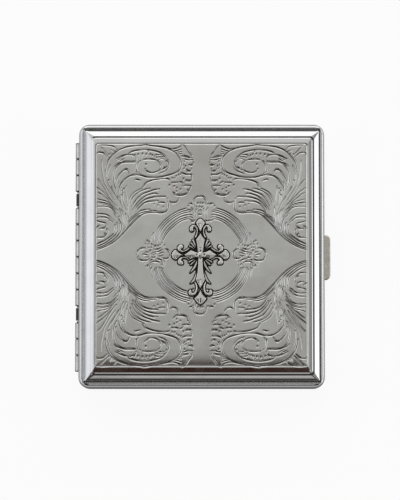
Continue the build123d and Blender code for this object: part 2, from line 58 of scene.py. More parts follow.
# ---------------------------------------------------------------------------
# Engraving: cut lines as (width factor, depth factor, x, y, x, y, ...) and
# punched dots as (radius factor, x, y), from the body centre.
# The scrollwork is given for the upper left quarter and repeated four ways.
# ---------------------------------------------------------------------------
# <cuts>
SCROLL_CUTS = [
    (1.2, 0.9, -37.04, 39.54, -35.86, 39.61, -34.47, 39.57, -33.09, 39.43, -32.12, 39.19, -31.29, 38.78, -30.84, 38.37),
    (1.2, 0.9, -37.77, 36.28, -37.59, 36.72, -37.11, 36.94, -36.14, 36.86, -35.37, 36.63, -34.61, 36.01, -33.85, 35.32),
    (1.0, 0.8, -36.55, 39.26, -35.86, 38.64, -35.03, 37.75, -34.2, 36.85, -33.39, 36.06),
    (0.9, 0.8, -32.67, 37.98, -32.59, 36.81),
    (0.9, 0.8, -31.92, 37.81, -32.01, 36.67),
    (1.35, 1.0, -20.2, 39.65, -22.69, 39.48, -24.63, 39.29, -26.16, 39.04, -27.54, 38.74, -28.65, 38.32, -29.76, 37.83, -30.87, 37.11, -31.98, 36.21, -32.95, 35.11, -33.71, 33.94, -34.13, 32.7, -34.47, 31.32, -34.58, 29.94),
    (1.35, 1.0, -18.12, 37.63, -19.23, 37.85, -20.89, 37.9, -22.69, 37.77, -24.08, 37.52, -25.33, 37.15, -26.09, 36.7, -26.51, 36.21),
    (1.3, 1.0, -30.94, 34.55, -30.04, 34.9, -29.21, 35.39, -28.31, 35.76, -27.27, 36.12),
    (1.1, 0.9, -28.93, 34.99, -28.1, 35.65, -27.13, 36.06, -25.74, 36.09, -24.5, 35.84, -23.69, 35.26, -23.5, 34.71, -23.73, 34.16),
    (1.3, 1.0, -31.42, 31.73, -30.59, 32.49, -29.76, 32.97, -28.93, 33.25, -28.1, 33.52, -26.85, 33.64, -25.47, 33.62, -24.22, 33.66, -23.69, 33.94),
    (1.0, 0.9, -30.52, 34.05, -29.62, 34.46, -28.93, 34.63),
    (1.0, 0.9, -29.76, 33.69, -28.79, 34.15, -27.82, 34.77),
    (1.2, 0.95, -23.6, 33.47, -25.05, 33.36, -26.44, 33.39, -27.68, 33.36, -28.79, 33.06, -29.9, 32.4, -30.8, 31.47, -31.35, 30.3, -31.63, 28.92, -31.77, 27.54, -31.66, 26.3, -31.22, 24.92, -30.59, 23.54),
    (1.2, 0.95, -30.8, 25.48, -30.7, 26.85, -30.25, 27.96, -29.62, 28.99, -28.93, 29.82, -28.17, 30.41, -27.27, 30.65, -26.51, 30.37, -26.09, 29.75, -25.74, 29.13),
    (1.2, 1.0, -28.24, 30.6, -27.54, 30.88, -26.85, 30.8, -26.23, 30.08),
    (1.35, 1.0, -29.76, 23.09, -29.55, 24.47, -29.07, 25.57, -28.31, 26.6, -27.54, 27.36, -26.64, 27.98, -25.74, 28.44, -24.63, 28.71, -23.25, 28.8, -22, 28.6, -20.75, 28.22, -19.51, 27.91, -18.05, 27.78),
    (1.1, 0.9, -21.93, 34, -22.56, 33.54, -23.04, 32.78, -23.36, 31.68, -23.39, 30.58, -23.04, 29.75, -22.21, 29.03),
    (0.9, 0.8, -23.66, 31.02, -23.5, 29.84),
    (1.1, 1.0, -20.34, 30.6, -19.51, 30.01, -18.81, 29.64, -17.85, 29.53),
    (1.2, 1.0, -24.11, 26.95, -23.6, 27.14, -22.97, 26.98, -22.07, 26.73),
    (1.4, 1.0, -21.35, 39.87, -19.69, 39.7, -17.75, 39.34, -14.97, 38.97, -13.31, 38.63, -11.93, 38.31, -10.82, 38.18, -9.71, 38.29, -8.46, 38.69, -7.56, 39.29, -7.05, 39.87),
    (1.3, 1.0, -13.31, 38.6, -11.93, 38.14, -10.54, 37.56, -9.43, 36.87, -8.53, 36.05, -7.84, 35.08, -7.46, 33.98, -7.35, 32.87, -7.52, 31.77, -7.97, 30.74, -8.74, 29.98, -9.71, 29.43, -10.82, 28.99, -12.2, 28.6, -13.59, 28.21, -14.97, 27.98, -16.36, 27.84, -18.02, 27.84, -19.69, 27.98, -21.07, 28.19),
    (1.3, 1.0, -20.8, 37.84, -18.72, 37.77, -17.47, 37.56, -16.36, 37.29, -15.25, 36.9, -14.28, 36.35, -13.31, 35.52, -12.48, 34.56),
    (1.0, 0.7, -12.48, 34.67, -11.93, 33.7, -11.65, 32.6, -11.86, 31.63, -12.41, 30.81, -13.31, 30.05, -14.42, 29.56, -15.53, 29.22),
    (1.2, 1.0, -17.08, 35.52, -16.5, 35.98, -15.81, 36.14, -14.49, 36.06),
    (1.2, 1.0, -15.95, 35.2, -14.56, 35.31, -13.24, 35.18),
    (1.0, 0.8, -15.53, 34.24, -14.56, 34.63, -13.38, 34.46),
    (1.0, 0.8, -16.5, 36.99, -15.67, 37.16, -14.42, 36.75),
    (1.3, 1.0, -12.92, 34.18, -12.17, 33.4),
    (1.1, 1.0, -14.7, 30.5, -13.31, 31.29, -12.45, 32.09, -12.01, 33.19, -12.2, 33.88),
    (1.2, 1.0, -14.03, 30.98, -13.15, 31.59),
    (1.3, 1.0, -21.21, 34.31, -20.24, 34.43, -19.13, 34.52, -17.75, 34.39, -16.5, 34.16),
    (1.1, 0.9, -16.5, 34.25, -15.67, 33.77, -14.81, 32.87, -14.5, 31.91, -14.88, 30.99, -15.64, 30.28, -16.5, 29.84, -17.68, 29.56, -18.86, 29.7, -19.69, 30.23, -20.35, 30.74),
    (1.2, 1.0, -6.87, 39.88, -5.96, 39.15, -5.27, 38.32, -4.65, 37.29, -4.02, 36.57, -3.54, 35.84, -3.82, 35.19),
    (1.2, 1.0, -10.43, 37.41, -9.43, 37.55, -8.32, 37.8, -7.24, 38.18),
    (1.1, 1.0, -9.01, 37.07, -8.18, 37.08, -7.24, 37.14),
    (1.1, 1.0, -8.35, 36.49, -7.14, 36.35),
    (1.2, 1.0, -7.52, 35.73, -6.66, 35.73, -5.55, 35.52, -4.51, 35.29),
    (1.3, 1.0, -6.87, 34.65, -6.1, 34.49, -4.99, 34.24, -3.19, 34.24),
    (1.0, 0.9, -7.35, 35.4, -5.83, 35.26, -4.58, 35.01, -3.3, 34.93),
    (1.2, 1.0, -4.79, 32.39, -4.09, 32.39, -3.5, 32.72),
    (1.1, 0.9, -3.16, 33.47, -3.03, 32.78, -3.68, 32.2, -4.72, 32.39),
    (1.1, 0.9, -6.52, 32.64, -6.66, 31.74, -6.45, 30.99),
    (1.3, 1.0, -5.44, 30.69, -4.99, 30.35, -4.27, 30.27),
    (1.2, 0.9, -5.55, 30.92, -4.99, 30.19, -4.3, 30.08, -3.79, 30.57, -3.68, 31.23),
    (1.3, 1.0, -7.42, 29.59, -6.52, 29.22, -5.55, 28.9, -3.89, 28.87, -3.53, 28.42, -3.41, 27.66),
    (1.4, 1.0, -5.83, 26.97, -4.86, 26.69, -3.91, 26.9),
    (1.1, 0.9, -3.44, 27.81, -3.68, 26.96, -4.3, 26.52, -5.55, 26.54, -6.03, 26.92),
    (1.4, 1.0, -6.94, 24.9, -5.55, 24.83, -4.09, 24.86),
    (1.2, 0.9, -3.79, 24.85, -4.14, 23.95, -4.69, 23.19, -5.04, 22.41, -5.83, 21.68, -7.21, 21.3, -8.74, 21.37, -9.71, 21.86, -10.4, 22.6),
    (1.4, 1.0, -9.01, 21.59, -8.04, 21.59, -6.52, 21.66, -5.58, 22.1),
    (1.2, 1.0, -10.29, 22.38, -9.4, 21.88),
    (1.4, 1.0, -10.95, 25.91, -9.71, 25.91, -8.46, 26.1),
    (1.2, 1.0, -8.02, 26.38, -7.07, 25.96, -6.52, 25.38),
    (1.2, 0.9, -8.23, 20.66, -8.4, 19.82, -8.96, 19.12, -9.67, 18.7, -10.65, 18.64, -11.5, 19.18),
    (1.3, 1.0, -10.82, 18.82, -10.09, 18.69, -9.36, 18.93),
    (0.9, 0.7, -12.27, 20.41, -12.2, 19.78, -12.23, 19.29),
    (1.3, 1.0, -21.35, 24.21, -20.8, 24.97, -20.24, 25.73, -19.41, 26.21, -17.75, 26.83, -15.95, 27.2, -13.87, 27.41, -12.48, 27.36, -11.54, 26.98),
    (1.1, 0.9, -21.14, 24.61, -20.75, 24.44),
    (1.0, 0.7, -26.42, 16.74, -26.31, 18.72, -25.73, 20.59, -24.58, 22.18, -22.84, 23.3, -20.88, 24.13),
    (1.1, 0.8, -25.73, 18.58, -25.01, 20.2, -23.78, 21.68, -22.26, 22.76, -20.41, 23.48, -18.49, 23.95),
    (1.2, 0.95, -25.08, 17.21, -24.25, 18.76, -23.13, 20.31, -21.79, 21.5, -20.34, 22.22, -18.89, 22.72, -17.62, 23.19, -16.35, 23.48, -15.05, 23.66),
    (1.2, 0.95, -24.83, 15.95, -23.82, 17.64, -22.44, 19.33, -20.88, 20.67, -19.61, 21.35, -18.35, 21.78, -17.04, 22.04, -15.88, 21.89),
    (1.25, 1.0, -23.96, 16.2, -23.13, 17.53, -21.71, 18.94, -20.16, 19.91, -18.53, 20.41, -16.9, 20.74, -15.09, 20.88, -12.91, 20.92),
    (1.25, 1.0, -23.6, 15.3, -22.69, 16.81, -21.28, 18.18, -19.87, 18.9, -18.53, 19.19, -17.08, 19.3, -15.59, 19.41),
    (1.25, 1.0, -15.52, 18.76, -14.33, 18.76, -13.28, 18.61),
    (1.1, 0.9, -25.05, 13.13, -23.96, 14.22, -22.51, 15.44, -21.06, 15.98, -19.69, 16.2, -18.53, 16.27),
    (1.1, 0.9, -26.5, 11.51, -24.87, 12.95, -23.24, 14.22, -21.71, 15.01, -20.16, 15.41, -18.71, 15.62, -17.44, 15.77, -16.1, 15.66),
    (1.3, 1.0, -12.19, 19.62, -12.01, 18.18, -11.97, 16.99, -12.55, 15.91, -13.53, 15.19, -14.72, 14.97, -16.17, 15.15, -18.35, 15.15, -20.16, 14.9, -21.97, 14.04, -23.78, 12.41, -25.52, 10.61, -27.08, 8.92, -28.78, 7.04, -30.73, 5.24, -33.2, 3.58, -35.73, 2.39, -37.8, 1.71),
    (1.2, 1.0, -15.52, 15.48, -14.47, 15.3, -13.28, 15.51),
    (0.9, 0.7, -26.64, 11.8, -25.52, 13.06, -24.39, 14.04),
    (0.9, 0.75, -26.5, 10.86, -25.08, 12.56, -23.71, 13.68, -22.44, 14.47),
    (1.0, 0.8, -27.04, 9.35, -25.95, 10.58, -24.54, 12.23, -23.13, 13.57, -21.71, 14.4),
    (1.2, 1.0, -37.8, 3.62, -36.53, 4.2, -35.12, 4.88, -33.7, 5.85, -32.44, 6.79, -31.64, 7.58, -31.28, 8.63, -31.1, 9.67, -31.2, 10.79),
    (1.2, 1.0, -37.8, 2.86, -36.09, 3.48, -34.68, 4.16, -33.27, 5.24, -32.11, 6.18, -31.17, 6.97, -30.52, 7.91, -30.19, 8.99, -30.26, 10.43, -30.52, 11.51),
    (1.2, 1.0, -37.8, 2.25, -35.8, 2.9, -33.99, 3.8, -32.29, 4.92, -30.88, 6.11, -29.9, 7.19, -29.18, 8.41, -28.85, 9.96, -29.03, 11.51, -29.47, 12.63, -29.83, 13.86),
    (1.0, 0.85, -27.36, 14.86, -27, 13.21, -26.93, 11.8, -27.15, 10.54, -27.58, 9.64, -28.27, 8.56),
    (1.0, 0.85, -26.5, 18.11, -26.64, 16.41, -26.5, 14.86, -26.02, 13.24),
    (0.95, 0.8, -28.92, 16.27, -28.2, 14.86, -27.84, 13.21, -27.91, 11.8, -28.16, 10.65),
    (0.9, 0.7, -29.61, 16.7, -29.03, 15.3, -28.63, 13.75, -28.52, 12.05, -28.49, 10.4),
    (0.9, 0.7, -30.08, 13.1, -29.5, 12.16, -29.43, 10.94),
    (1.1, 0.9, -37.8, 18.83, -35.8, 18.72, -33.99, 18.36, -32.58, 17.75, -31.31, 16.7, -30.23, 15.77),
    (0.9, 0.8, -37.8, 18.18, -35.37, 18.18, -33.56, 17.71, -32.11, 16.81, -30.48, 15.19),
    (1.1, 0.9, -37.8, 17.28, -35.8, 17.46, -33.99, 17.28, -32.58, 16.7, -31.46, 15.69, -30.3, 14.43),
    (0.9, 0.8, -31.64, 15.01, -30.81, 13.96, -30.19, 13.24),
    (1.05, 0.85, -37.8, 14.76, -36.78, 14.65, -35.8, 14.58, -34.39, 14.36, -33.27, 13.75, -32.44, 12.95, -31.64, 12.16),
    (1.05, 0.85, -37.8, 13.21, -36.53, 13.46, -34.83, 13.39, -33.7, 13.03, -32.73, 12.23, -31.78, 11.55),
    (1.1, 0.9, -37.8, 12.27, -36.93, 11.84, -35.8, 11.58, -34.65, 11.26, -34.07, 10.58),
    (1.2, 1.0, -37.8, 9.49, -37.51, 10, -36.71, 10.4),
    (1.3, 1.0, -36.85, 9.31, -35.51, 9.39, -34.75, 9.75, -34.25, 10.43),
    (1.2, 0.95, -34.28, 9.49, -33.81, 8.63, -33.96, 7.76, -34.68, 6.83, -35.51, 6.21, -36.53, 6.11, -37.8, 6.11),
    (1.0, 0.8, -37.4, 27.26, -36.13, 25.89, -34.9, 24.13, -33.78, 22.04, -32.4, 19.8, -31.02, 17.82),
    (0.9, 0.65, -35.99, 34.22, -36.06, 32.42, -35.84, 30.4, -35.44, 28.34, -34.9, 26, -33.78, 23.77, -32.4, 21.71, -31.02, 19.59),
    (1.0, 0.8, -32.87, 32.42, -33.41, 31.15, -33.88, 29.89, -34.07, 28.52, -33.92, 27.23, -33.38, 25.57, -32.54, 23.98, -31.42, 22.32, -30.19, 20.41),
    (0.9, 0.75, -32.54, 24.67, -31.71, 23.15, -30.88, 21.6, -29.86, 19.51),
    (1.0, 0.8, -37.8, 24.34, -36.56, 23.41, -35.15, 22.32, -33.99, 21.17, -32.47, 19.51, -30.52, 17.5),
    (1.0, 0.8, -37.25, 22.47, -35.84, 21.53, -34.75, 20.59, -33.38, 19.51, -31.75, 17.78),
    (0.9, 0.7, -37.47, 20.09, -36.17, 19.66, -34.39, 19.23, -32.73, 18.36, -31.39, 17.28),
    (0.9, 0.7, -29.07, 24.45, -29.14, 22.11, -29.07, 19.8, -28.63, 18),
    (0.9, 0.7, -27.18, 24.88, -27.51, 23.62, -27.29, 22.18, -26.97, 20.52, -26.82, 18.72),
    (0.9, 0.7, -28.45, 23.05, -28.34, 20.2, -28.05, 18.86, -27.44, 17.64, -26.93, 16.2),
    (0.9, 0.65, -30.59, 21.39, -29.61, 19.8, -28.78, 18.29, -28.05, 16.56),
    (0.8, 0.6, -29.79, 26.47, -29.86, 24.67, -29.72, 22.69, -29.43, 20.52),
    (1.0, 0.9, -5.23, 16.77, -6.43, 16.39, -7.84, 15.92, -9.24, 15.27, -10.65, 14.45, -12.06, 13.44, -13.47, 12.24, -14.6, 10.92, -15.59, 9.52, -16.29, 8.07, -16.74, 6.46, -17, 4.78),
    (1.0, 0.9, -4.31, 15.97, -5.3, 15.88, -6.43, 15.64, -7.84, 15.18, -9.24, 14.51, -10.65, 13.65, -12.06, 12.63, -13.33, 11.4, -14.46, 10.08, -15.3, 8.7, -15.98, 7.16, -16.4, 5.62, -16.57, 4.36),
    (1.0, 0.9, -3.75, 15.64, -5.3, 15.22, -6.43, 14.94, -7.84, 14.42, -9.24, 13.72, -10.65, 12.83, -12.06, 11.7, -13.19, 10.53, -14.18, 9.26, -14.99, 7.86, -15.61, 6.46, -16.01, 5.06, -16.18, 4.07),
    (1.0, 0.85, -3.47, 14.21, -5.02, 14.28, -6.43, 13.96, -7.84, 13.43, -9.24, 12.6, -10.65, 11.56, -11.78, 10.5, -12.77, 9.4, -13.73, 8, -14.54, 6.46, -15.05, 4.92, -15.25, 4.07),
    (1.0, 0.9, -3.25, 13.19, -4.17, 13.51, -5.3, 13.47, -6.43, 13.12, -7.84, 12.54, -9.24, 11.7, -10.65, 10.53, -11.89, 9.26, -12.91, 7.97, -13.84, 6.46, -14.46, 5.06, -14.77, 4.14),
    (1.1, 0.95, -2.65, 12.32, -3.54, 12.24, -4.45, 12.8, -5.58, 12.74, -6.99, 12.24, -8.54, 11.34, -10.09, 10.16, -11.5, 8.81, -12.6, 7.44, -13.56, 5.9, -14.15, 4.43),
    (0.9, 0.8, -17.39, 7.79, -17.84, 6.6, -18.19, 5.34, -18.38, 4.36),
    (1.2, 1.0, -4.42, 18.41, -3.82, 18.31, -3.16, 17.99),
]
SCROLL_DOTS = [
    (0.55, -30.59, 37.98), (0.55, -31.35, 37.29), (0.55, -32.28, 36.57), (0.55, -33.23, 36.21),
    (0.6, -19.99, 32.6), (0.6, -20.34, 30.88), (0.75, -24.08, 35.94), (0.75, -22.9, 36.16),
    (0.75, -21.31, 36.41), (0.75, -19.85, 36.35), (0.75, -18.54, 36.23), (0.5, -19.23, 37.29),
    (0.5, -25.47, 36.21), (0.7, -19.83, 36.3), (0.7, -18.51, 36.18), (0.7, -17.82, 35.8),
    (0.7, -16.36, 35.14), (0.5, -19.27, 37.26), (0.6, -20.1, 32.6), (0.65, -6.24, 33.7), (0.65, -5.9, 31.91),
    (0.65, -6.24, 31.19), (0.6, -5.13, 23.27), (0.6, -9.08, 22.78), (0.6, -7.7, 23.5), (0.6, -8.94, 24.05),
    (0.6, -9.15, 28.32), (0.6, -8.39, 28.74), (0.6, -7.56, 29.01), (0.6, -10.61, 27.5), (0.6, -9.64, 27.63),
    (0.7, -6.59, 27.33), (0.7, -11.65, 25.01), (0.7, -9.92, 24.65), (0.55, -15.74, 17.68),
    (0.55, -13.89, 17.14), (0.55, -17.15, 18.25), (0.7, -34.79, 7.37), (0.55, -28.03, 23.71),
    (0.55, -28.51, 23.02), (0.55, -28.35, 22.29), (0.55, -28.68, 21.57), (0.55, -33.43, 26.88),
    (0.6, -4.76, 17.54),
]
SIDE_MOUNT_CUTS = [
    (1.3, 1.0, -23.14, -0.14, -23.3, 0.57, -22.94, 1.33, -22.23, 1.89, -21.37, 2.21, -20.25, 2.29),
    (1.1, 1.0, -22.08, 2.19, -21.32, 2.33, -20.23, 2.33),
    (1.3, 1.0, -23.04, -0.54, -22.64, -1.45, -21.93, -2.06, -21.16, -2.24, -20.35, -2.24, -19.64, -2.08, -18.88, -1.6),
    (1.0, 0.9, -20.3, 0.82, -19.18, 0.67),
    (1.2, 0.9, -21.16, 0.07, -20.45, -0.03, -19.54, -0.2),
    (1.0, 0.9, -20.1, -1.05, -19.18, -1),
    (1.3, 1.0, -13.34, 2.01, -12.42, 1.7, -11.76, 1.03, -11.53, 0.12, -11.83, -0.84, -12.37, -1.4, -13.08, -1.6, -13.9, -1.33),
    (1.3, 1.0, -15.52, 0.25, -14.66, 0.49, -13.79, 0.71),
    (1.2, 1.0, -15.42, -0.38, -13.9, -0.36),
    (1.1, 0.9, -15.22, -0.79, -14.46, -0.95, -13.9, -1.2),
    (1.4, 1.0, -17.15, 1.91, -16.28, 1.79, -15.57, 1.96, -14.91, 2.26),
    (1.3, 1.0, -16.79, 1.02, -15.67, 1.02, -14.96, 1.3, -14.35, 1.62),
    (1.1, 0.9, -20.2, 4.01, -20.2, 3.2, -19.94, 2.44, -19.54, 2.04),
    (1.1, 0.9, -13.44, 3.55, -13.42, 2.69, -13.74, 1.89, -14.25, 1.48),
    (1.0, 0.9, -17.3, 0.59, -16.69, 0.42, -16.41, -0.19, -16.64, -0.79, -17.3, -1, -17.96, -0.79, -18.16, -0.19, -17.91, 0.42, -17.3, 0.59),
    (1.3, 1.0, -17.86, -1, -17.2, -1.09, -16.59, -0.94),
    (1.4, 1.0, -18.72, -3.35, -18.22, -2.9, -17.61, -2.59, -16.79, -2.49, -15.88, -2.59, -15.12, -3),
    (1.2, 1.0, -18.72, -2.59, -18.11, -2.04, -17.3, -1.75),
    (1.2, 1.0, -16.39, -1.55, -15.47, -1.75, -14.56, -2.04, -14.05, -2.74, -14, -3.55),
    (1.1, 0.9, -13.39, -2.31, -13.39, -3.37, -13.74, -4.08),
    (1.1, 0.9, -20.2, -2.66, -20.3, -3.47, -19.94, -4.38),
    (1.0, 0.8, -18.32, -3.47, -18.72, -4.28, -18.47, -4.84, -18.11, -4.99, -17.71, -4.54, -17.76, -3.98),
    (1.0, 0.9, -18.22, 4.01, -17.81, 3.5, -17.3, 3.2),
]
SIDE_MOUNT_DOTS = [
    (0.65, -19.59, 4.87), (0.65, -18.95, 4.51), (0.65, -18.93, 3.73), (0.65, -15.67, 3.05),
    (0.65, -14.96, 3.48), (0.65, -14.2, 4.16), (0.8, -16.74, 2.92), (0.8, -18.52, 1.3), (0.5, -18.93, 2.44),
    (0.5, -18.11, 2.44), (0.5, -17.4, -0.22), (0.75, -19.41, -4.13), (0.75, -14.23, -3.66),
    (0.55, -17.81, -3.58),
]
TOP_MOUNT_CUTS = [
    (1.3, 1.0, -3.14, 18.5, -3.01, 19.33, -2.64, 20.11, -2.08, 20.66, -1.39, 20.94, -0.74, 20.99, -0.1, 21.03, 0.55, 20.85, 1.11, 20.3, 1.52, 19.61, 1.71, 18.87, 1.66, 18.23),
    (1.0, 0.8, -2.5, 19.7, -2.45, 18.6, -2.22, 17.86, -1.9, 17.03),
    (1.0, 0.8, 1.43, 18.96, 1.34, 18.04, 1.06, 17.22, 1.12, 16.57),
    (1.0, 0.9, -0.74, 16.16, -0.28, 16.03, 0.23, 15.57),
    (1.2, 1.0, -1.2, 14.83, -0.93, 14.53, -0.54, 14.4, -0.1, 14.53, 0.14, 14.87),
    (0.9, 0.8, -1.2, 14.92, -1.28, 15.38, -1.02, 15.79, -0.56, 15.98, -0.05, 15.79, 0.2, 15.38, 0.14, 14.92),
    (1.2, 1.0, -4.51, 18.31, -3.98, 18.42, -3.51, 18.21, -3.09, 17.85),
    (1.2, 1.0, 2.66, 18.31, 3.23, 18.42, 3.71, 18.12),
    (1.0, 0.8, -3.75, 16.92, -3.19, 16.16, -2.89, 15.19, -2.78, 13.91),
    (0.9, 0.7, -2.2, 15.88, -2.15, 14.73, -1.94, 13.72),
    (1.0, 0.8, 2.21, 16.85, 1.8, 16.02, 1.71, 14.92, 1.89, 13.91, 2.21, 13.22),
    (0.9, 0.7, 1.01, 16.21, 0.75, 15.01, 0.85, 13.81),
    (1.2, 1.0, -3.84, 12.3, -3.38, 11.93, -2.96, 11.96, -2.54, 12.39),
    (1.2, 1.0, 1.27, 12.39, 1.75, 12.09, 2.31, 12.11, 2.73, 12.39),
    (1.0, 0.9, -5.36, 16.07, -4.44, 16.07, -3.93, 15.98),
    (1.0, 0.9, -5.45, 15.29, -4.72, 15.24, -4.16, 15.47, -3.7, 15.88),
]
TOP_MOUNT_DOTS = [
    (0.65, -1.39, 18.5), (0.65, -0.47, 18.55), (0.65, 0.41, 18.5), (0.65, -1.94, 17.14),
    (0.65, -0.82, 17.16), (0.65, -1.85, 16.3), (0.65, 0.69, 16.37), (0.65, 0.04, 16.96), (0.5, -0.54, 15.36),
    (0.6, -4.81, 17.49), (0.6, 2.21, 18.21),
]
# </cuts>

SYM_X, SYM_Y = -0.091, -0.26          # the scrollwork's own centre lines
CUT_SIGMA = 0.142
CUT_DEPTH = 0.19


# ---------------------------------------------------------------------------
# small mesh tools
# ---------------------------------------------------------------------------
def new_object(name, verts, faces, smooth=True):
    me = bpy.data.meshes.new(name)
    me.from_pydata([tuple(v) for v in verts], [], [tuple(f) for f in faces])
    me.update()
    if smooth:
        me.polygons.foreach_set("use_smooth", [True] * len(me.polygons))
    ob = bpy.data.objects.new(name, me)
    bpy.context.scene.collection.objects.link(ob)
    return ob


def fast_object(name, verts, faces, smooth=True):
    """verts is an (n, 3) array; faces is a list of equal-size arrays and/or lists of index lists."""
    me = bpy.data.meshes.new(name)
    me.vertices.add(len(verts))
    me.vertices.foreach_set("co", np.asarray(verts, np.float32).ravel())
    loops, starts, total = [], [], 0
    for block in faces:
        if isinstance(block, np.ndarray):
            n, k = block.shape
            loops.append(block.astype(np.int32).ravel())
            starts.append(total + np.arange(n, dtype=np.int32) * k)
            total += n * k
        else:
            for f in block:
                loops.append(np.asarray(f, np.int32))
                starts.append(np.array([total], np.int32))
                total += len(f)
    loops = np.concatenate(loops)
    starts = np.concatenate(starts)
    me.loops.add(len(loops))
    me.loops.foreach_set("vertex_index", loops)
    me.polygons.add(len(starts))
    me.polygons.foreach_set("loop_start", starts)
    if smooth:
        me.polygons.foreach_set("use_smooth", np.ones(len(starts), bool))
    me.update(calc_edges=True)
    me.validate()
    ob = bpy.data.objects.new(name, me)
    bpy.context.scene.collection.objects.link(ob)
    return ob


def point_attribute(ob, name, values):
    at = ob.data.attributes.new(name, "FLOAT", "POINT")
    at.data.foreach_set("value", np.asarray(values, np.float32))


def curve_points(pts, step):
    """Evenly spaced points on a Catmull-Rom curve through pts."""
    p = np.asarray(pts, float)
    if len(p) > 2:
        q = np.vstack([2 * p[0] - p[1], p, 2 * p[-1] - p[-2]])
        t = np.linspace(0, 1, 10, endpoint=False)[:, None]
        out = []
        for i in range(1, len(q) - 2):
            a, b, c, d = q[i - 1], q[i], q[i + 1], q[i + 2]
            out.append(0.5 * (2 * b + (c - a) * t + (2 * a - 5 * b + 4 * c - d) * t ** 2 + (3 * b - a - 3 * c + d) * t ** 3))
        p = np.vstack(out + [p[-1:]])
    seg = np.linalg.norm(np.diff(p, axis=0), axis=1)
    s = np.concatenate([[0], np.cumsum(seg)])
    n = max(2, int(math.ceil(s[-1] / step)) + 1)
    u = np.linspace(0, s[-1], n)
    return np.stack([np.interp(u, s, p[:, k]) for k in range(p.shape[1])], 1), u, s[-1]


def smooth01(x):
    x = np.clip(x, 0, 1)
    return x * x * (3 - 2 * x)


# ---------------------------------------------------------------------------
# Raised cover plates
# ---------------------------------------------------------------------------
# distances from the outline at the crease, the bevel's end, the panel's border and the flat;
# the border is not quite centred, as on the pressed original
STEPS = [0.0, 2.4, 4.4, 6.65, 20.0]
SIDE = {"l": [0.0, 2.2, 4.95, 6.3, 20.0], "r": [0.0, 1.85, 4.22, 6.45, 20.0],
        "t": [0.0, 2.33, 4.95, 7.45, 20.0], "b": [0.0, 2.15, 4.4, 7.6, 20.0]}
NXC, NYC, SUB = 128, 138, 6       # coarse cells, and fine cells in each
gx = np.linspace(-(HW - 5.7), HW - 5.7, NXC * SUB + 1)
gy = np.linspace(-(HH - 6.2), HH - 6.2, NYC * SUB + 1)
# heights across the edge: crease, convex bevel, a thin line at its top, band, border, crown
PROF_S = [1.25, 2.1, 2.3, 2.42, 2.56, 2.8, 3.1, 3.4, 3.7, 4.0, 4.14, 4.22, 4.32, 4.46, 4.6, 4.7, 4.95, 5.5, 6.1, 6.65, 7.2, 8.0, 9.0, 10.5, 13.0, 20.0]
PROF_Z = [16.9, 16.93, 17.0, 17.2, 17.42, 17.62, 17.815, 17.995, 18.16, 18.31, 18.38, 18.405, 18.35, 18.32, 18.35, 18.45, 18.57, 18.68, 18.765, 18.81,
          18.855, 18.90, 18.94, 18.972, 18.992, 19.0]
SOFT_Z = [16.9, 16.93, 17.03, 17.2, 17.40, 17.62, 17.83, 18.015, 18.175, 18.315, 18.372, 18.402, 18.44, 18.485, 18.52, 18.542, 18.592, 18.68, 18.765, 18.81,
          18.855, 18.90, 18.94, 18.972, 18.992, 19.0]
# LINE also sets how strong the painted shade along that line is
LINE = {"l": 0.0, "r": 1.0, "t": 0.9, "b": 1.0}      # how sharp the line above the bevel is


def plate_height(x, y):
    """Height of the plate's outer face without the engraving."""
    z = None
    for side, d in (("l", HW + x), ("r", HW - x), ("t", HH - y), ("b", HH + y)):
        s = np.interp(d, SIDE[side], STEPS)
        k = LINE[side]
        z_side = np.interp(s, PROF_S, np.array(PROF_Z) * k + np.array(SOFT_Z) * (1 - k))
        z = z_side if z is None else np.minimum(z, z_side)
    return z


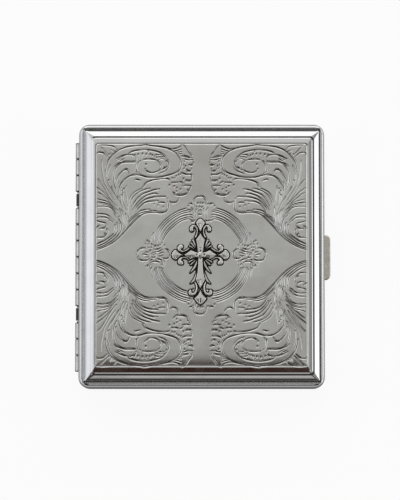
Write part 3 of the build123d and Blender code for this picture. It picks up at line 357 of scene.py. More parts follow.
def cut_field():
    """Depth of the engraving on the grid, 0..1 and up."""
    field = np.zeros((len(gy), len(gx)), np.float64)
    hx, hy = gx[1] - gx[0], gy[1] - gy[0]
    win = 7
    oy, ox = np.mgrid[-win:win + 1, -win:win + 1]
    oy, ox = oy.ravel(), ox.ravel()

    def stamp(px, py, sig, dep):
        ci = np.rint((px - gx[0]) / hx).astype(int)
        cj = np.rint((py - gy[0]) / hy).astype(int)
        I = ci[:, None] + ox[None]
        J = cj[:, None] + oy[None]
        ok = (I >= 0) & (I < len(gx)) & (J >= 0) & (J < len(gy))
        Ic, Jc = np.clip(I, 0, len(gx) - 1), np.clip(J, 0, len(gy) - 1)
        d2 = (gx[Ic] - px[:, None]) ** 2 + (gy[Jc] - py[:, None]) ** 2
        v = dep[:, None] * np.exp(-d2 / (2 * sig[:, None] ** 2))
        v[~ok] = 0
        np.maximum.at(field, (Jc.ravel(), Ic.ravel()), v.ravel())

    def line(pts, w, d, taper=1.3):
        p, u, L = curve_points(pts, 0.07)
        end = np.minimum(u, L - u)
        t = np.clip(end / min(taper, 0.4 * L + 1e-6), 0, 1)
        t = 0.28 + 0.72 * np.sqrt(t)
        stamp(p[:, 0], p[:, 1], CUT_SIGMA * w * (0.72 + 0.28 * t), d * t)

    def group(cuts, dots, signs):
        for sx, sy in signs:
            for row in cuts:
                q = np.array(row[2:], float).reshape(-1, 2)
                if sx < 0:
                    q[:, 0] = 2 * SYM_X - q[:, 0]
                if sy < 0:
                    q[:, 1] = 2 * SYM_Y - q[:, 1]
                line(q, row[0], row[1])
            q = np.array(dots, float)
            if len(q):
                x = q[:, 1] if sx > 0 else 2 * SYM_X - q[:, 1]
                y = q[:, 2] if sy > 0 else 2 * SYM_Y - q[:, 2]
                stamp(x, y, 0.30 * q[:, 0] + 0.02, np.full(len(q), 1.15))

    group(SCROLL_CUTS, SCROLL_DOTS, ((1, 1), (-1, 1), (1, -1), (-1, -1)))
    group(SIDE_MOUNT_CUTS, SIDE_MOUNT_DOTS, ((1, 1), (-1, 1)))
    group(TOP_MOUNT_CUTS, TOP_MOUNT_DOTS, ((1, 1), (1, -1)))
    # border line round the panel
    X, Y = np.meshgrid(gx, gy)
    bx0, bx1, by0, by1 = -HW + SIDE["l"][3], HW - SIDE["r"][3], -HH + SIDE["b"][3], HH - SIDE["t"][3]
    qx = np.abs(X - (bx0 + bx1) / 2) - (bx1 - bx0) / 2 + 0.9
    qy = np.abs(Y - (by0 + by1) / 2) - (by1 - by0) / 2 + 0.9
    sd = np.hypot(np.maximum(qx, 0), np.maximum(qy, 0)) + np.minimum(np.maximum(qx, qy), 0) - 0.9
    field = np.maximum(field, 0.72 * np.exp(-(sd / 0.155) ** 2 / 2))
    return field


def rounded(x, y, hx, hy, r):
    """Points of a sharp rectangle's edge, about its centre, pulled on to its rounded corners."""
    ax, ay = np.abs(x), np.abs(y)
    inx, iny = ax - (hx - r), ay - (hy - r)
    corner = (inx > 0) & (iny > 0)
    n = np.hypot(inx, iny) + 1e-12
    nx = np.where(corner, (hx - r) + inx / n * r, ax)
    ny = np.where(corner, (hy - r) + iny / n * r, ay)
    return np.sign(x) * nx, np.sign(y) * ny


def build_plate(name, cuts, flip):
    """The plate as one closed shell: engraved top on a two-level grid, bevels, flange and underside."""
    # fine cells wherever the engraving is, one coarse cell wider all round
    big = (cuts > 0.012)
    cell = np.zeros((NYC, NXC), bool)
    for dy in range(SUB + 1):
        for dx in range(SUB + 1):
            cell |= big[dy:dy + NYC * SUB:SUB, dx:dx + NXC * SUB:SUB][:NYC, :NXC]
    for a in (0, -1, 1, -2, 2):
        for b in (0, -1, 1, -2, 2):
            cell[a % NYC, b % NXC] = True
    NX = NXC * SUB + 1
    jj, ii = np.mgrid[0:NYC * SUB + 1, 0:NX]
    used = (jj % SUB == 0) & (ii % SUB == 0)
    fine = np.kron(cell, np.ones((SUB, SUB), bool))
    used[:-1, :-1] |= fine
    used[1:, :-1] |= fine
    used[:-1, 1:] |= fine
    used[1:, 1:] |= fine
    idx = np.full(used.shape, -1, np.int64)
    idx[used] = np.arange(used.sum())
    X, Y = np.meshgrid(gx, gy)
    Z = plate_height(X, Y) - CUT_DEPTH * cuts
    verts = np.stack([X[used], Y[used], Z[used]], 1)
    shade = [cuts[used]]
    fj, fi = np.nonzero(fine)
    quads = np.stack([idx[fj, fi], idx[fj, fi + 1], idx[fj + 1, fi + 1], idx[fj + 1, fi]], 1)
    polys = []
    for j, i in zip(*np.nonzero(~cell)):
        J, I = j * SUB, i * SUB
        loop = [idx[J, I + k] for k in range(SUB)] + [idx[J + k, I + SUB] for k in range(SUB)]
        loop += [idx[J + SUB, I + SUB - k] for k in range(SUB)] + [idx[J + SUB - k, I] for k in range(SUB)]
        polys.append([v for v in loop if v >= 0])
    # boundary of the grid, counter-clockwise
    ny, nx = used.shape
    ring = [idx[0, i] for i in range(nx - 1)] + [idx[j, nx - 1] for j in range(ny - 1)]
    ring += [idx[ny - 1, i] for i in range(nx - 1, 0, -1)] + [idx[j, 0] for j in range(ny - 1, 0, -1)]
    ring = np.array([v for v in ring if v >= 0])
    bx, by = (verts[ring, 0] - gx[0]) / (gx[-1] - gx[0]), (verts[ring, 1] - gy[0]) / (gy[-1] - gy[0])
    rings = [ring]
    base = len(verts)
    extra, ring_shade = [], []

    side_of = np.where(bx == 0, "l", np.where(bx == 1, "r", np.where(by == 1, "t", "b")))
    # painted shade along the line above the bevel and in the crease, set per side and weak on the left where the light
    # falls
    line_shade_by_side = np.array([LINE[k] for k in side_of])
    crease_shade_by_side = np.array([{"l": 0.25, "r": 1.0, "t": 0.9, "b": 1.0}[k] for k in side_of])

    def add_ring(s, z, r, c):
        nonlocal base
        lo_x, hi_x = -HW + np.interp(s, STEPS, SIDE["l"]), HW - np.interp(s, STEPS, SIDE["r"])
        lo_y, hi_y = -HH + np.interp(s, STEPS, SIDE["b"]), HH - np.interp(s, STEPS, SIDE["t"])
        if z is not None:
            lo_x, hi_x, lo_y, hi_y = -HW + s, HW - s, -HH + s, HH - s
        sx_, sy_ = lo_x + bx * (hi_x - lo_x), lo_y + by * (hi_y - lo_y)
        mx_, my_ = (lo_x + hi_x) / 2, (lo_y + hi_y) / 2
        x, y = rounded(sx_ - mx_, sy_ - my_, (hi_x - lo_x) / 2, (hi_y - lo_y) / 2, r)
        x, y = x + mx_, y + my_
        zz = plate_height(sx_, sy_) if z is None else np.full(len(x), z)
        extra.append(np.stack([x, y, zz], 1))
        ring_shade.append(c * (line_shade_by_side if s > 3.5 else crease_shade_by_side))
        rings.append(np.arange(base, base + len(x)))
        base += len(x)

    # the last number of each ring is the strength of its painted shade
    for s, z, r, c in ((5.2, None, 0.7, 0), (4.95, None, 0.9, 0), (4.8, None, 1.05, 0), (4.72, None, 1.15, 0.2), (4.68, None, 1.2, 1.5), (4.6, None, 1.25, 1.6),
                       (4.46, None, 1.25, 1.6), (4.32, None, 1.25, 1.6), (4.22, None, 1.25, 1.5), (4.18, None, 1.25, 0.2), (4.1, None, 1.2, 0), (4.0, None, 1.15, 0), (3.86, None, 1.1, 0),
                       (3.7, None, 1.0, 0), (3.4, None, 0.9, 0), (3.1, None, 0.8, 0), (2.8, None, 0.75, 0), (2.62, None, 0.7, 0.0), (2.54, None, 0.72, 0.4),
                       (2.46, None, 0.72, 1.2), (2.38, None, 0.75, 1.5), (2.3, None, 0.8, 1.6), (2.2, None, 0.8, 1.6),
                       (1.8, 16.92, 0.9, 1.6), (1.55, 16.9, 0.9, 1.6), (1.27, 16.9, 2.0, 0), (1.25, 16.88, 2.0, 0),
                       (1.25, 16.52, 2.0, 0), (1.27, 16.5, 2.0, 0), (2.2, 16.5, 0.3, 0), (2.25, 16.53, 0.3, 0), (2.25, 17.0, 0.3, 0),
                       (4.52, 17.98, 0.25, 0), (6.7, 18.33, 0.2, 0), (20.0, 18.55, 0.2, 0)):
        add_ring(s, z, r, c)
    n = len(ring)
    nxt = (np.arange(n) + 1) % n
    strips = [np.stack([a, b, b[nxt], a[nxt]], 1) for a, b in zip(rings[:-1], rings[1:])]
    last = [list(rings[-1][::-1])]
    V = np.vstack([verts] + extra)
    V[:, 0] += cx0
    if flip:
        V[:, 2] = 2 * MID - V[:, 2]
        quads, strips = quads[:, ::-1], [s_[:, ::-1] for s_ in strips]
        polys = [p[::-1] for p in polys]
        last = [last[0][::-1]]
    ob = fast_object(name, V * MM, [quads] + strips + [polys, last])
    # the attribute holds the engraving depth and the rings' painted shade
    point_attribute(ob, "cut_and_crease_shade", np.clip(np.concatenate(shade + ring_shade), 0, 1.6))
    return ob


# ---------------------------------------------------------------------------
# Flowering cross: cast relief with rounded limbs over a blackened ground
# ---------------------------------------------------------------------------
CROSS_X, CROSS_Y = cx0 - 0.45, -0.11


def poly_sdf(X, Y, pts):
    """Signed distance to a closed polygon, negative inside."""
    p = np.asarray(pts, float)
    d = np.full(X.shape, 1e9)
    inside = np.zeros(X.shape, bool)
    for a, b in zip(p, np.roll(p, -1, axis=0)):
        ex, ey = b - a
        wx, wy = X - a[0], Y - a[1]
        t = np.clip((wx * ex + wy * ey) / (ex * ex + ey * ey + 1e-12), 0, 1)
        d = np.minimum(d, (wx - ex * t) ** 2 + (wy - ey * t) ** 2)
        cond = (a[1] <= Y) != (b[1] <= Y)
        xi = a[0] + (Y - a[1]) / (ey if abs(ey) > 1e-12 else 1e-12) * ex
        inside ^= cond & (X < xi)
    return np.where(inside, -1, 1) * np.sqrt(d)


def ribbon_sdf(X, Y, path, radii):
    """Signed distance to a ribbon whose half width changes along its path."""
    pr, u, L = curve_points(np.column_stack([np.asarray(path, float), radii]), 0.08)
    best = np.full(X.shape, 1e9)
    for x, y, r in pr:
        best = np.minimum(best, np.hypot(X - x, Y - y) - r)
    return best


def build_cross(name):
    h = 0.07
    xs = np.arange(-11.4, 11.4 + h / 2, h)
    ys = np.arange(-19.2, 13.8 + h / 2, h)
    X, Y = np.meshgrid(xs, ys)
    A = np.abs(X)
    Z = np.full(X.shape, -9.0)
    ground = np.full(X.shape, 9.0)
    rib = 0.34

    def add(d, top, edge, crown=0.0, moat=0.2):
        nonlocal Z, ground
        ground = np.minimum(ground, d)
        Z = np.where((d >= 0) & (d < moat) & (Z > rib), rib, Z)
        t = np.clip(-d / edge, 0, 1)
        inner = np.clip((-d - edge) / 1.0, 0, 1)
        z = np.where(d < 0, rib + (top - rib) * np.sqrt(np.clip(1 - (1 - t) ** 2, 0, 1)) + crown * inner, -9)
        Z = np.maximum(Z, z)

    def part(fn, box, *args):
        """Evaluate a signed distance only near the element."""
        x0, y0, x1, y1 = box
        d = np.full(X.shape, 9.0)
        sel = (A >= x0 - 1) & (A <= x1 + 1) & (Y >= y0 - 1) & (Y <= y1 + 1)
        d[sel] = fn(A[sel], Y[sel], *args)
        return d

    def smooth_poly(pts):
        q, _, _ = curve_points(list(pts), 0.25)
        return q

    # upright: top petal, top kite, lower limb, bottom petal (right halves, mirrored)
    def upright(pts, top, edge, crown=0.0):
        pts = [(max(a, 0), b) for a, b in pts]
        full = pts + [(-a, b) for a, b in reversed(pts)]
        y = [b for a, b in pts]
        add(part(poly_sdf, (0, min(y), max(a for a, b in pts), max(y)), full), top, edge, crown)

    uprights = (
        ([(0, 13.1), (0.5, 12.95), (1.0, 12.52), (1.43, 11.95), (1.64, 11.45), (1.38, 10.95), (0.98, 10.35), (0.6, 9.65), (0.34, 9.0), (0.16, 8.4)], 0.98, 0.42),
        ([(0.08, 7.75), (0.38, 7.25), (0.8, 6.6), (1.25, 6.02), (1.66, 5.5), (1.58, 5.1), (1.44, 4.5), (1.3, 3.8), (1.18, 3.0), (1.09, 2.2), (1.05, 1.5), (1.0, 0)], 1.0, 0.34),
        ([(0.9, 0), (0.84, -1.4), (0.87, -3.0), (0.98, -4.8), (1.15, -6.4), (1.45, -7.9), (1.76, -8.85), (1.5, -9.4), (1.1, -10.1), (0.7, -10.8), (0.36, -11.5), (0.1, -12.1)], 1.0, 0.34),
        ([(0.08, -12.6), (0.3, -13.3), (0.65, -14.0), (1.2, -14.7), (1.8, -15.25), (2.22, -15.65), (1.92, -16.12), (1.42, -16.8), (0.86, -17.45), (0.38, -17.86), (0, -17.98)], 0.98, 0.42))
    arm = [(0, 1.0), (1.3, 0.95), (2.2, 1.2), (2.9, 1.5), (3.5, 1.74), (4.1, 1.25), (4.8, 0.75), (5.4, 0.35), (5.95, 0.05), (5.4, -0.35), (4.7, -0.85),
           (4.0, -1.3), (3.5, -1.62), (2.8, -1.3), (2.0, -1.05), (1.2, -0.95), (0, -0.95), (-0.6, 0)]
    petal = [(6.4, 0.1), (7.0, 0.3), (7.6, 0.7), (8.2, 1.25), (8.75, 1.85), (9.3, 1.75), (9.85, 1.25), (10.25, 0.6), (10.4, 0), (10.25, -0.65),
             (9.85, -1.25), (9.3, -1.7), (8.75, -1.8), (8.2, -1.25), (7.6, -0.7), (7.0, -0.3), (6.4, -0.1)]

    def ribbon(path, radii, top=0.98, edge=None, moat=0.2):
        p = np.array(path)
        d = part(ribbon_sdf, (p[:, 0].min(), p[:, 1].min(), p[:, 0].max(), p[:, 1].max()), path, radii)
        add(d, top, edge or 0.6 * max(radii), 0.0, moat)

    # dark ground that fills the crotches
    for poly in ([(0.9, 1.0), (2.6, 1.3), (3.7, 2.4), (3.2, 4.0), (2.2, 5.2), (1.4, 4.2), (1.1, 2.0)],
                 [(0.8, -1.0), (3.2, -1.5), (3.5, -2.8), (2.6, -4.4), (1.9, -5.2), (1.3, -6.6), (1.0, -4.0)]):
        ground = np.minimum(ground, part(poly_sdf, (0.8, min(b for a, b in poly), 3.7, max(b for a, b in poly)), poly) + 0.2)
    # leaf tufts in the upper and lower crotches
    for path, radii in (
            ([(1.75, 2.85), (2.15, 4.1), (2.65, 5.25)], [0.07, 0.26, 0.33]),
            ([(1.95, 2.4), (2.6, 3.4), (3.3, 4.22)], [0.07, 0.24, 0.31]),
            ([(2.3, 2.15), (3.0, 2.72), (3.85, 3.15)], [0.06, 0.2, 0.26]),
            ([(2.0, -1.7), (2.95, -1.95), (4.05, -2.6)], [0.06, 0.2, 0.26]),
            ([(1.75, -2.0), (2.6, -2.7), (3.4, -3.5)], [0.06, 0.23, 0.28]),
            ([(1.32, -2.3), (1.62, -3.4), (2.2, -4.6), (3.0, -5.7), (3.7, -6.5)], [0.12, 0.3, 0.35, 0.25, 0.06]),
            ([(1.5, -6.4), (1.8, -7.6), (2.1, -8.6), (2.7, -9.6), (3.6, -10.35)], [0.07, 0.2, 0.3, 0.34, 0.07])):
        ribbon(path, radii, 0.86, 0.2, 0.12)
    # volutes either side of each petal, each ending in a rounded head
    ribbon([(1.78, 6.45), (1.42, 7.1), (1.2, 7.9), (1.14, 8.8), (1.32, 9.6), (1.78, 10.2), (2.38, 10.4), (2.98, 10.02), (3.22, 9.4), (3.12, 8.98)],
           [0.32, 0.3, 0.28, 0.28, 0.33, 0.38, 0.46, 0.56, 0.68, 0.66], 1.02)
    ribbon([(4.0, 2.5), (4.55, 2.0), (5.2, 1.55), (6.1, 1.22), (6.92, 1.34), (7.5, 1.85), (7.55, 2.5), (7.05, 2.92)],
           [0.2, 0.24, 0.26, 0.3, 0.4, 0.55, 0.74, 0.84], 1.02)
    ribbon([(4.0, -1.85), (4.5, -1.48), (5.2, -1.08), (6.1, -0.98), (6.9, -1.22), (7.45, -1.8), (7.46, -2.5), (6.95, -2.9)],
           [0.2, 0.24, 0.26, 0.3, 0.4, 0.55, 0.74, 0.84], 1.02)
    ribbon([(1.9, -9.9), (1.52, -10.6), (1.32, -11.5), (1.36, -12.5), (1.7, -13.4), (2.35, -14.1), (3.15, -14.2), (3.7, -13.62), (3.6, -12.95)],
           [0.26, 0.3, 0.33, 0.35, 0.42, 0.5, 0.6, 0.6, 0.46], 1.02)
    add(part(poly_sdf, (6, -2.2, 10.6, 2.0), petal), 0.98, 0.42, 0.06)
    for pts, top_, edge_ in uprights:
        upright(pts, top_, edge_, 0.08)
    add(part(poly_sdf, (0, -2, 6.2, 2), arm), 1.0, 0.34, 0.08, 0.0)
    # centre boss inside a sunk ring with four punched dots
    R = np.hypot(X, Y)
    boss = np.where(R < 1.16, 1.0 + 0.36 * np.sqrt(np.clip(1 - (R / 1.16) ** 2, 0, 1)), -9)
    Z = np.maximum(Z, boss)
    ground = np.minimum(ground, R - 1.6)
    mark_dark = 0.55 * np.exp(-((R - 1.25) / 0.12) ** 2)
    Z = np.where(Z > 0, Z - 0.3 * np.exp(-((R - 1.25) / 0.13) ** 2), Z)
    for k in range(4):
        a = math.radians(90 * k)
        g = np.exp(-((X - 1.5 * math.cos(a)) ** 2 + (Y - 1.5 * math.sin(a)) ** 2) / (2 * 0.2 ** 2))
        Z = np.where(Z > 0, Z - 0.3 * g, Z)
        mark_dark = np.maximum(mark_dark, g)
    # chased marks in the petals and limbs
    marks = (((0.12, -15.9), (0.02, -17.1), 0.16, 0.45), ((0.0, -9.2), (0.0, -10.6), 0.13, 0.16), ((0.0, 11.2), (0.0, 9.6), 0.12, 0.14),
             ((-8.35, -0.55), (-8.62, -1.0), 0.16, 0.4), ((8.0, -0.1), (8.95, -0.8), 0.12, 0.35), ((8.1, -0.55), (8.6, -1.0), 0.1, 0.3),
             ((-3.35, -0.8), (-3.7, -1.05), 0.17, 0.35), ((0.0, 2.3), (0.0, 1.55), 0.14, 0.25), ((0.0, 5.6), (0.0, 4.2), 0.16, 0.07))
    for (ax, ay), (bx_, by_), sg, dp in marks:
        ex, ey = bx_ - ax, by_ - ay
        t = np.clip(((X - ax) * ex + (Y - ay) * ey) / (ex * ex + ey * ey), 0, 1)
        g = np.exp(-((X - ax - ex * t) ** 2 + (Y - ay - ey * t) ** 2) / (2 * sg ** 2))
        Z = np.where(Z > 0, Z - dp * g * 0.8, Z)
        mark_dark = np.maximum(mark_dark, g * min(1, dp * 2.4))
    # ground between the limbs, with a rounded outer edge
    gd = ground - 0.4
    gz = np.where(gd < 0, 0.02 + 0.32 * np.sqrt(np.clip(1 - (1 - np.clip(-gd / 0.16, 0, 1)) ** 2, 0, 1)), -0.12)
    high = Z > gz + 0.02
    Zf = np.maximum(Z, gz)
    recess = np.where(high, np.clip(1 - (Zf - 0.50) / 0.32, 0, 1), 1.0)
    recess = np.maximum(recess, mark_dark)
    # cells with any corner above the plate
    up = Zf > -0.05
    cell = up[:-1, :-1] | up[1:, :-1] | up[:-1, 1:] | up[1:, 1:]
    used = np.zeros(X.shape, bool)
    used[:-1, :-1] |= cell; used[1:, :-1] |= cell; used[:-1, 1:] |= cell; used[1:, 1:] |= cell
    # rim nodes lie on the outline's own smooth edge rather than on the grid
    gyy, gxx = np.gradient(np.where(gd > 2, 2, gd), h)
    nrm = np.hypot(gxx, gyy) + 1e-9
    rim = used & (gd > 0)
    shift = np.clip(gd, 0, h * 1.5)
    Xs = np.where(rim, X - gxx / nrm * shift * 0.95, X)
    Ys = np.where(rim, Y - gyy / nrm * shift * 0.95, Y)
    idx = np.full(X.shape, -1, np.int64)
    n = int(used.sum())
    idx[used] = np.arange(n)
    top = np.stack([Xs[used], Ys[used], Zf[used]], 1)
    bot = top.copy(); bot[:, 2] = -0.2
    j, i = np.nonzero(cell)
    q = np.stack([idx[j, i], idx[j, i + 1], idx[j + 1, i + 1], idx[j + 1, i]], 1)
    walls = []
    pad = np.pad(cell, 1)
    for dj, di, a, b in ((-1, 0, (0, 0), (0, 1)), (1, 0, (1, 1), (1, 0)), (0, -1, (1, 0), (0, 0)), (0, 1, (0, 1), (1, 1))):
        jb, ib = np.nonzero(cell & ~pad[1 + dj:1 + dj + cell.shape[0], 1 + di:1 + di + cell.shape[1]])
        va, vb = idx[jb + a[0], ib + a[1]], idx[jb + b[0], ib + b[1]]
        walls.append(np.stack([vb, va, va + n, vb + n], 1))
    V = np.vstack([top, bot])
    V += np.array([CROSS_X, CROSS_Y, TOP])
    studs, sf, off = [], [], len(V)
    for sy in (6.0, -6.0):
        for z in (18.62, 18.85):
            for k in range(24):
                a = 2 * math.pi * k / 24
                studs.append((CROSS_X + 0.6 * math.cos(a), CROSS_Y + sy + 0.6 * math.sin(a), z))
        for k in range(24):
            sf.append([off + k, off + (k + 1) % 24, off + 24 + (k + 1) % 24, off + 24 + k])
        sf.append([off + k for k in range(23, -1, -1)])
        sf.append([off + 24 + k for k in range(24)])
        off += 48
    V = np.vstack([V, studs])
    ob = fast_object(name, V * MM, [q, q[:, ::-1] + n] + walls + [sf])
    point_attribute(ob, "recess", np.concatenate([recess[used], np.ones(n), np.ones(len(studs))]))
    return ob


# ---------------------------------------------------------------------------
# Springs: round wire swept along its own centre line, with rounded tips
# ---------------------------------------------------------------------------
def wire(name, pts, r, sides=12):
    p = np.asarray(pts, float)
    t = np.gradient(p, axis=0)
    t /= np.linalg.norm(t, axis=1)[:, None]
    ref = np.array([0.0, 0.0, 1.0]) if abs(t[0][2]) < 0.9 else np.array([1.0, 0.0, 0.0])
    u = np.cross(t[0], ref); u /= np.linalg.norm(u)
    rows = []
    ang = np.linspace(0, 2 * math.pi, sides, endpoint=False)
    frames = []
    for k in range(len(p)):
        u = u - t[k] * (u @ t[k]); u /= np.linalg.norm(u)
        frames.append((u.copy(), np.cross(t[k], u)))
    for back, rr in ((r * 0.85, r * 0.5), (r * 0.4, r * 0.88)):
        a, b = frames[0]
        c = p[0] - t[0] * back
        rows.append(c + rr * (np.cos(ang)[:, None] * a + np.sin(ang)[:, None] * b))
    for k in range(len(p)):
        a, b = frames[k]
        rows.append(p[k] + r * (np.cos(ang)[:, None] * a + np.sin(ang)[:, None] * b))
    for back, rr in ((r * 0.4, r * 0.88), (r * 0.85, r * 0.5)):
        a, b = frames[-1]
        c = p[-1] + t[-1] * back
        rows.append(c + rr * (np.cos(ang)[:, None] * a + np.sin(ang)[:, None] * b))
    V = np.vstack(rows + [p[:1] - t[:1] * r, p[-1:] + t[-1:] * r])
    m = len(rows)
    k = np.arange(sides)
    kn = (k + 1) % sides
    quads = [np.stack([a * sides + k, a * sides + kn, (a + 1) * sides + kn, (a + 1) * sides + k], 1) for a in range(m - 1)]
    c0, c1 = m * sides, m * sides + 1
    caps = [[c0, int(kn[i]), int(i)] for i in k] + [[c1, (m - 1) * sides + int(i), (m - 1) * sides + int(kn[i])] for i in k]
    return fast_object(name, V * MM, quads + [caps])


def fillet_path(pts, step=0.08):
    """A wire path with eased corners."""
    p = np.asarray(pts, float)
    out = [p[0]]
    for a, b, c in zip(p[:-2], p[1:-1], p[2:]):
        d = 0.42 * min(np.linalg.norm(b - a), np.linalg.norm(c - b), 1.2)
        s, e = b + (a - b) / np.linalg.norm(a - b) * d, b + (c - b) / np.linalg.norm(c - b) * d
        for t in np.linspace(0, 1, 7):
            out.append((1 - t) ** 2 * s + 2 * t * (1 - t) * b + t * t * e)
    out.append(p[-1])
    q, _, _ = curve_points(np.array(out)[[0, *range(1, len(out) - 1), -1]], step)
    seg = np.linalg.norm(np.diff(q, axis=0), axis=1)
    return q[np.concatenate([[True], seg > 1e-4])]


def hinge_spring(tag, y_mid, sy, node):
    """A torsion spring round the pin: coil and lower leg in the back half, last turn and upper leg in the lid."""
    w, turns = 0.34, 14
    R, r = 0.78, 0.162
    inner = AXIS_X + 1.15 + 0.32
    th = np.linspace(0, 2 * math.pi * (turns - 1), 26 * (turns - 1) + 1)
    ya = -turns * w / 2 + w / 2
    y = ya + w * th / (2 * math.pi)
    coil = np.stack([AXIS_X + R * np.cos(th), y_mid + sy * y, MID + R * np.sin(th)], 1)
    low = fillet_path([(inner, y_mid + sy * ya, MID - 4.2), (inner, y_mid + sy * ya, MID - 1.6),
                       (AXIS_X + R + 0.1, y_mid + sy * ya, MID - 0.7), (AXIS_X + R, y_mid + sy * ya, MID)])
    up = fillet_path([(AXIS_X + R, y_mid - sy * ya, MID), (AXIS_X + R + 0.1, y_mid - sy * ya, MID + 0.7),
                      (inner, y_mid - sy * ya, MID + 1.6), (inner, y_mid - sy * ya, MID + 4.2)])
    cutk = len(coil) - 20
    a = wire("hinge_spring_%s_wire" % tag, np.vstack([low[:-1], coil[:cutk + 1]]), r)
    b = wire("hinge_spring_%s_lid_leg" % tag, np.vstack([coil[cutk:-1], up]), r)
    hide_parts(node)
    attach(a, "back_half")
    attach(b, "lid_half")
    return [a, b]


def arm_spring(tag, pz, lid, node):
    w, turns = 0.28, 20
    px = cx0 - HW + 3.2
    R, r = 0.45 + 0.05 + w / 2, w / 2 * 0.95
    up = 1 if lid else -1
    th = np.linspace(math.pi, math.pi + 2 * math.pi * (turns - 1), 24 * (turns - 1) + 1)
    y = -turns * w / 2 + w / 2 + w * (th - math.pi) / (2 * math.pi)
    coil = np.stack([px + R * np.cos(th), y, pz - up * R * np.sin(th)], 1)
    web_x = AXIS_X + 1.15 + 0.4 + w / 2 + 0.02
    leg = fillet_path([(web_x, y[0], pz + up * 3.0), (web_x + 0.02, y[0], pz + up * 1.6), (px - R, y[0], pz)])
    ob = wire("%s_arm_spring_wire" % tag, np.vstack([leg[:-1], coil]), r)
    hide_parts(node)
    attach(ob, "lid_half" if lid else "back_half")
    return [ob]


def latch_spring(tag, yc_, replace):
    x0, x1 = cx0 + HW - 4.3, cx0 + HW - 1.37
    r, R, turns = 0.15, 1.15, 5
    th = np.linspace(0, 2 * math.pi * turns, 30 * turns + 1)
    f = th / th[-1]
    e = np.clip(f * turns, 0, 1) - np.clip((f - 1) * turns + 1, 0, 1)
    x = x0 + r + (x1 - x0 - 2 * r) * np.clip((f - 0.09) / 0.82, 0, 1)
    ob = wire("latch_spring_%s_wire" % tag, np.stack([x, yc_ + R * np.cos(th), 6.95 + R * np.sin(th)], 1), r, 12)
    if replace:
        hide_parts("latch_springs")
    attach(ob, "back_half")
    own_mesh(ob)
    return [ob]


# ---------------------------------------------------------------------------
# Materials
# ---------------------------------------------------------------------------
class Nodes:
    def __init__(self, name):
        self.m = bpy.data.materials.new(name)
        self.m.use_nodes = True
        self.t = self.m.node_tree
        self.b = self.t.nodes["Principled BSDF"]
        self.co = self.t.nodes.new("ShaderNodeTexCoord").outputs["Object"]

    def new(self, kind, **kw):
        n = self.t.nodes.new(kind)
        for k, v in kw.items():
            setattr(n, k, v)
        return n

    def link(self, a, b):
        self.t.links.new(a, b)

    def noise(self, scale, stretch=(1, 1, 1), detail=4.0, rough=0.55, rot=(0, 0, 0), dist=0.0):
        """Noise with features of about 1/scale metres along each axis."""
        mp = self.new("ShaderNodeMapping")
        mp.inputs["Scale"].default_value = stretch
        mp.inputs["Rotation"].default_value = rot
        self.link(self.co, mp.inputs["Vector"])
        n = self.new("ShaderNodeTexNoise")
        n.inputs["Scale"].default_value = scale
        n.inputs["Detail"].default_value = detail
        n.inputs["Roughness"].default_value = rough
        n.inputs["Distortion"].default_value = dist
        self.link(mp.outputs["Vector"], n.inputs["Vector"])
        return n.outputs["Fac"]

    def remap(self, v, a, b, c=0.0, d=1.0):
        n = self.new("ShaderNodeMapRange")
        n.clamp = True
        for k, x in zip(("From Min", "From Max", "To Min", "To Max"), (a, b, c, d)):
            n.inputs[k].default_value = x
        self.link(v, n.inputs["Value"])
        return n.outputs["Result"]

    def math(self, op, a, b):
        n = self.new("ShaderNodeMath", operation=op)
        for k, x in ((0, a), (1, b)):
            if isinstance(x, (int, float)):
                n.inputs[k].default_value = x
            else:
                self.link(x, n.inputs[k])
        return n.outputs[0]

    def mix(self, fac, a, b):
        n = self.new("ShaderNodeMix", data_type="RGBA")
        for s, x in ((n.inputs["Factor"], fac), (n.inputs["A"], a), (n.inputs["B"], b)):
            if hasattr(x, "links") or hasattr(x, "is_linked"):
                self.link(x, s)
            elif isinstance(x, (int, float)):
                s.default_value = x
            else:
                s.default_value = (*x, 1)
        return n.outputs["Result"]

    def attribute(self, name):
        n = self.new("ShaderNodeAttribute", attribute_name=name)
        return n.outputs["Fac"]

    def bump(self, height, strength, distance, normal=None):
        n = self.new("ShaderNodeBump")
        n.inputs["Strength"].default_value = strength
        n.inputs["Distance"].default_value = distance
        self.link(height, n.inputs["Height"])
        if normal is not None:
            self.link(normal, n.inputs["Normal"])
        return n.outputs["Normal"]

    def edge_wear(self, radius):
        """1 along sharp edges of a CAD mesh, and the softened normal there."""
        bv = self.new("ShaderNodeBevel")
        bv.samples = 6
        bv.inputs["Radius"].default_value = radius
        geo = self.new("ShaderNodeNewGeometry")
        dot = self.new("ShaderNodeVectorMath", operation="DOT_PRODUCT")
        self.link(bv.outputs["Normal"], dot.inputs[0])
        self.link(geo.outputs["Normal"], dot.inputs[1])
        return self.remap(dot.outputs["Value"], 0.995, 0.86), bv.outputs["Normal"]


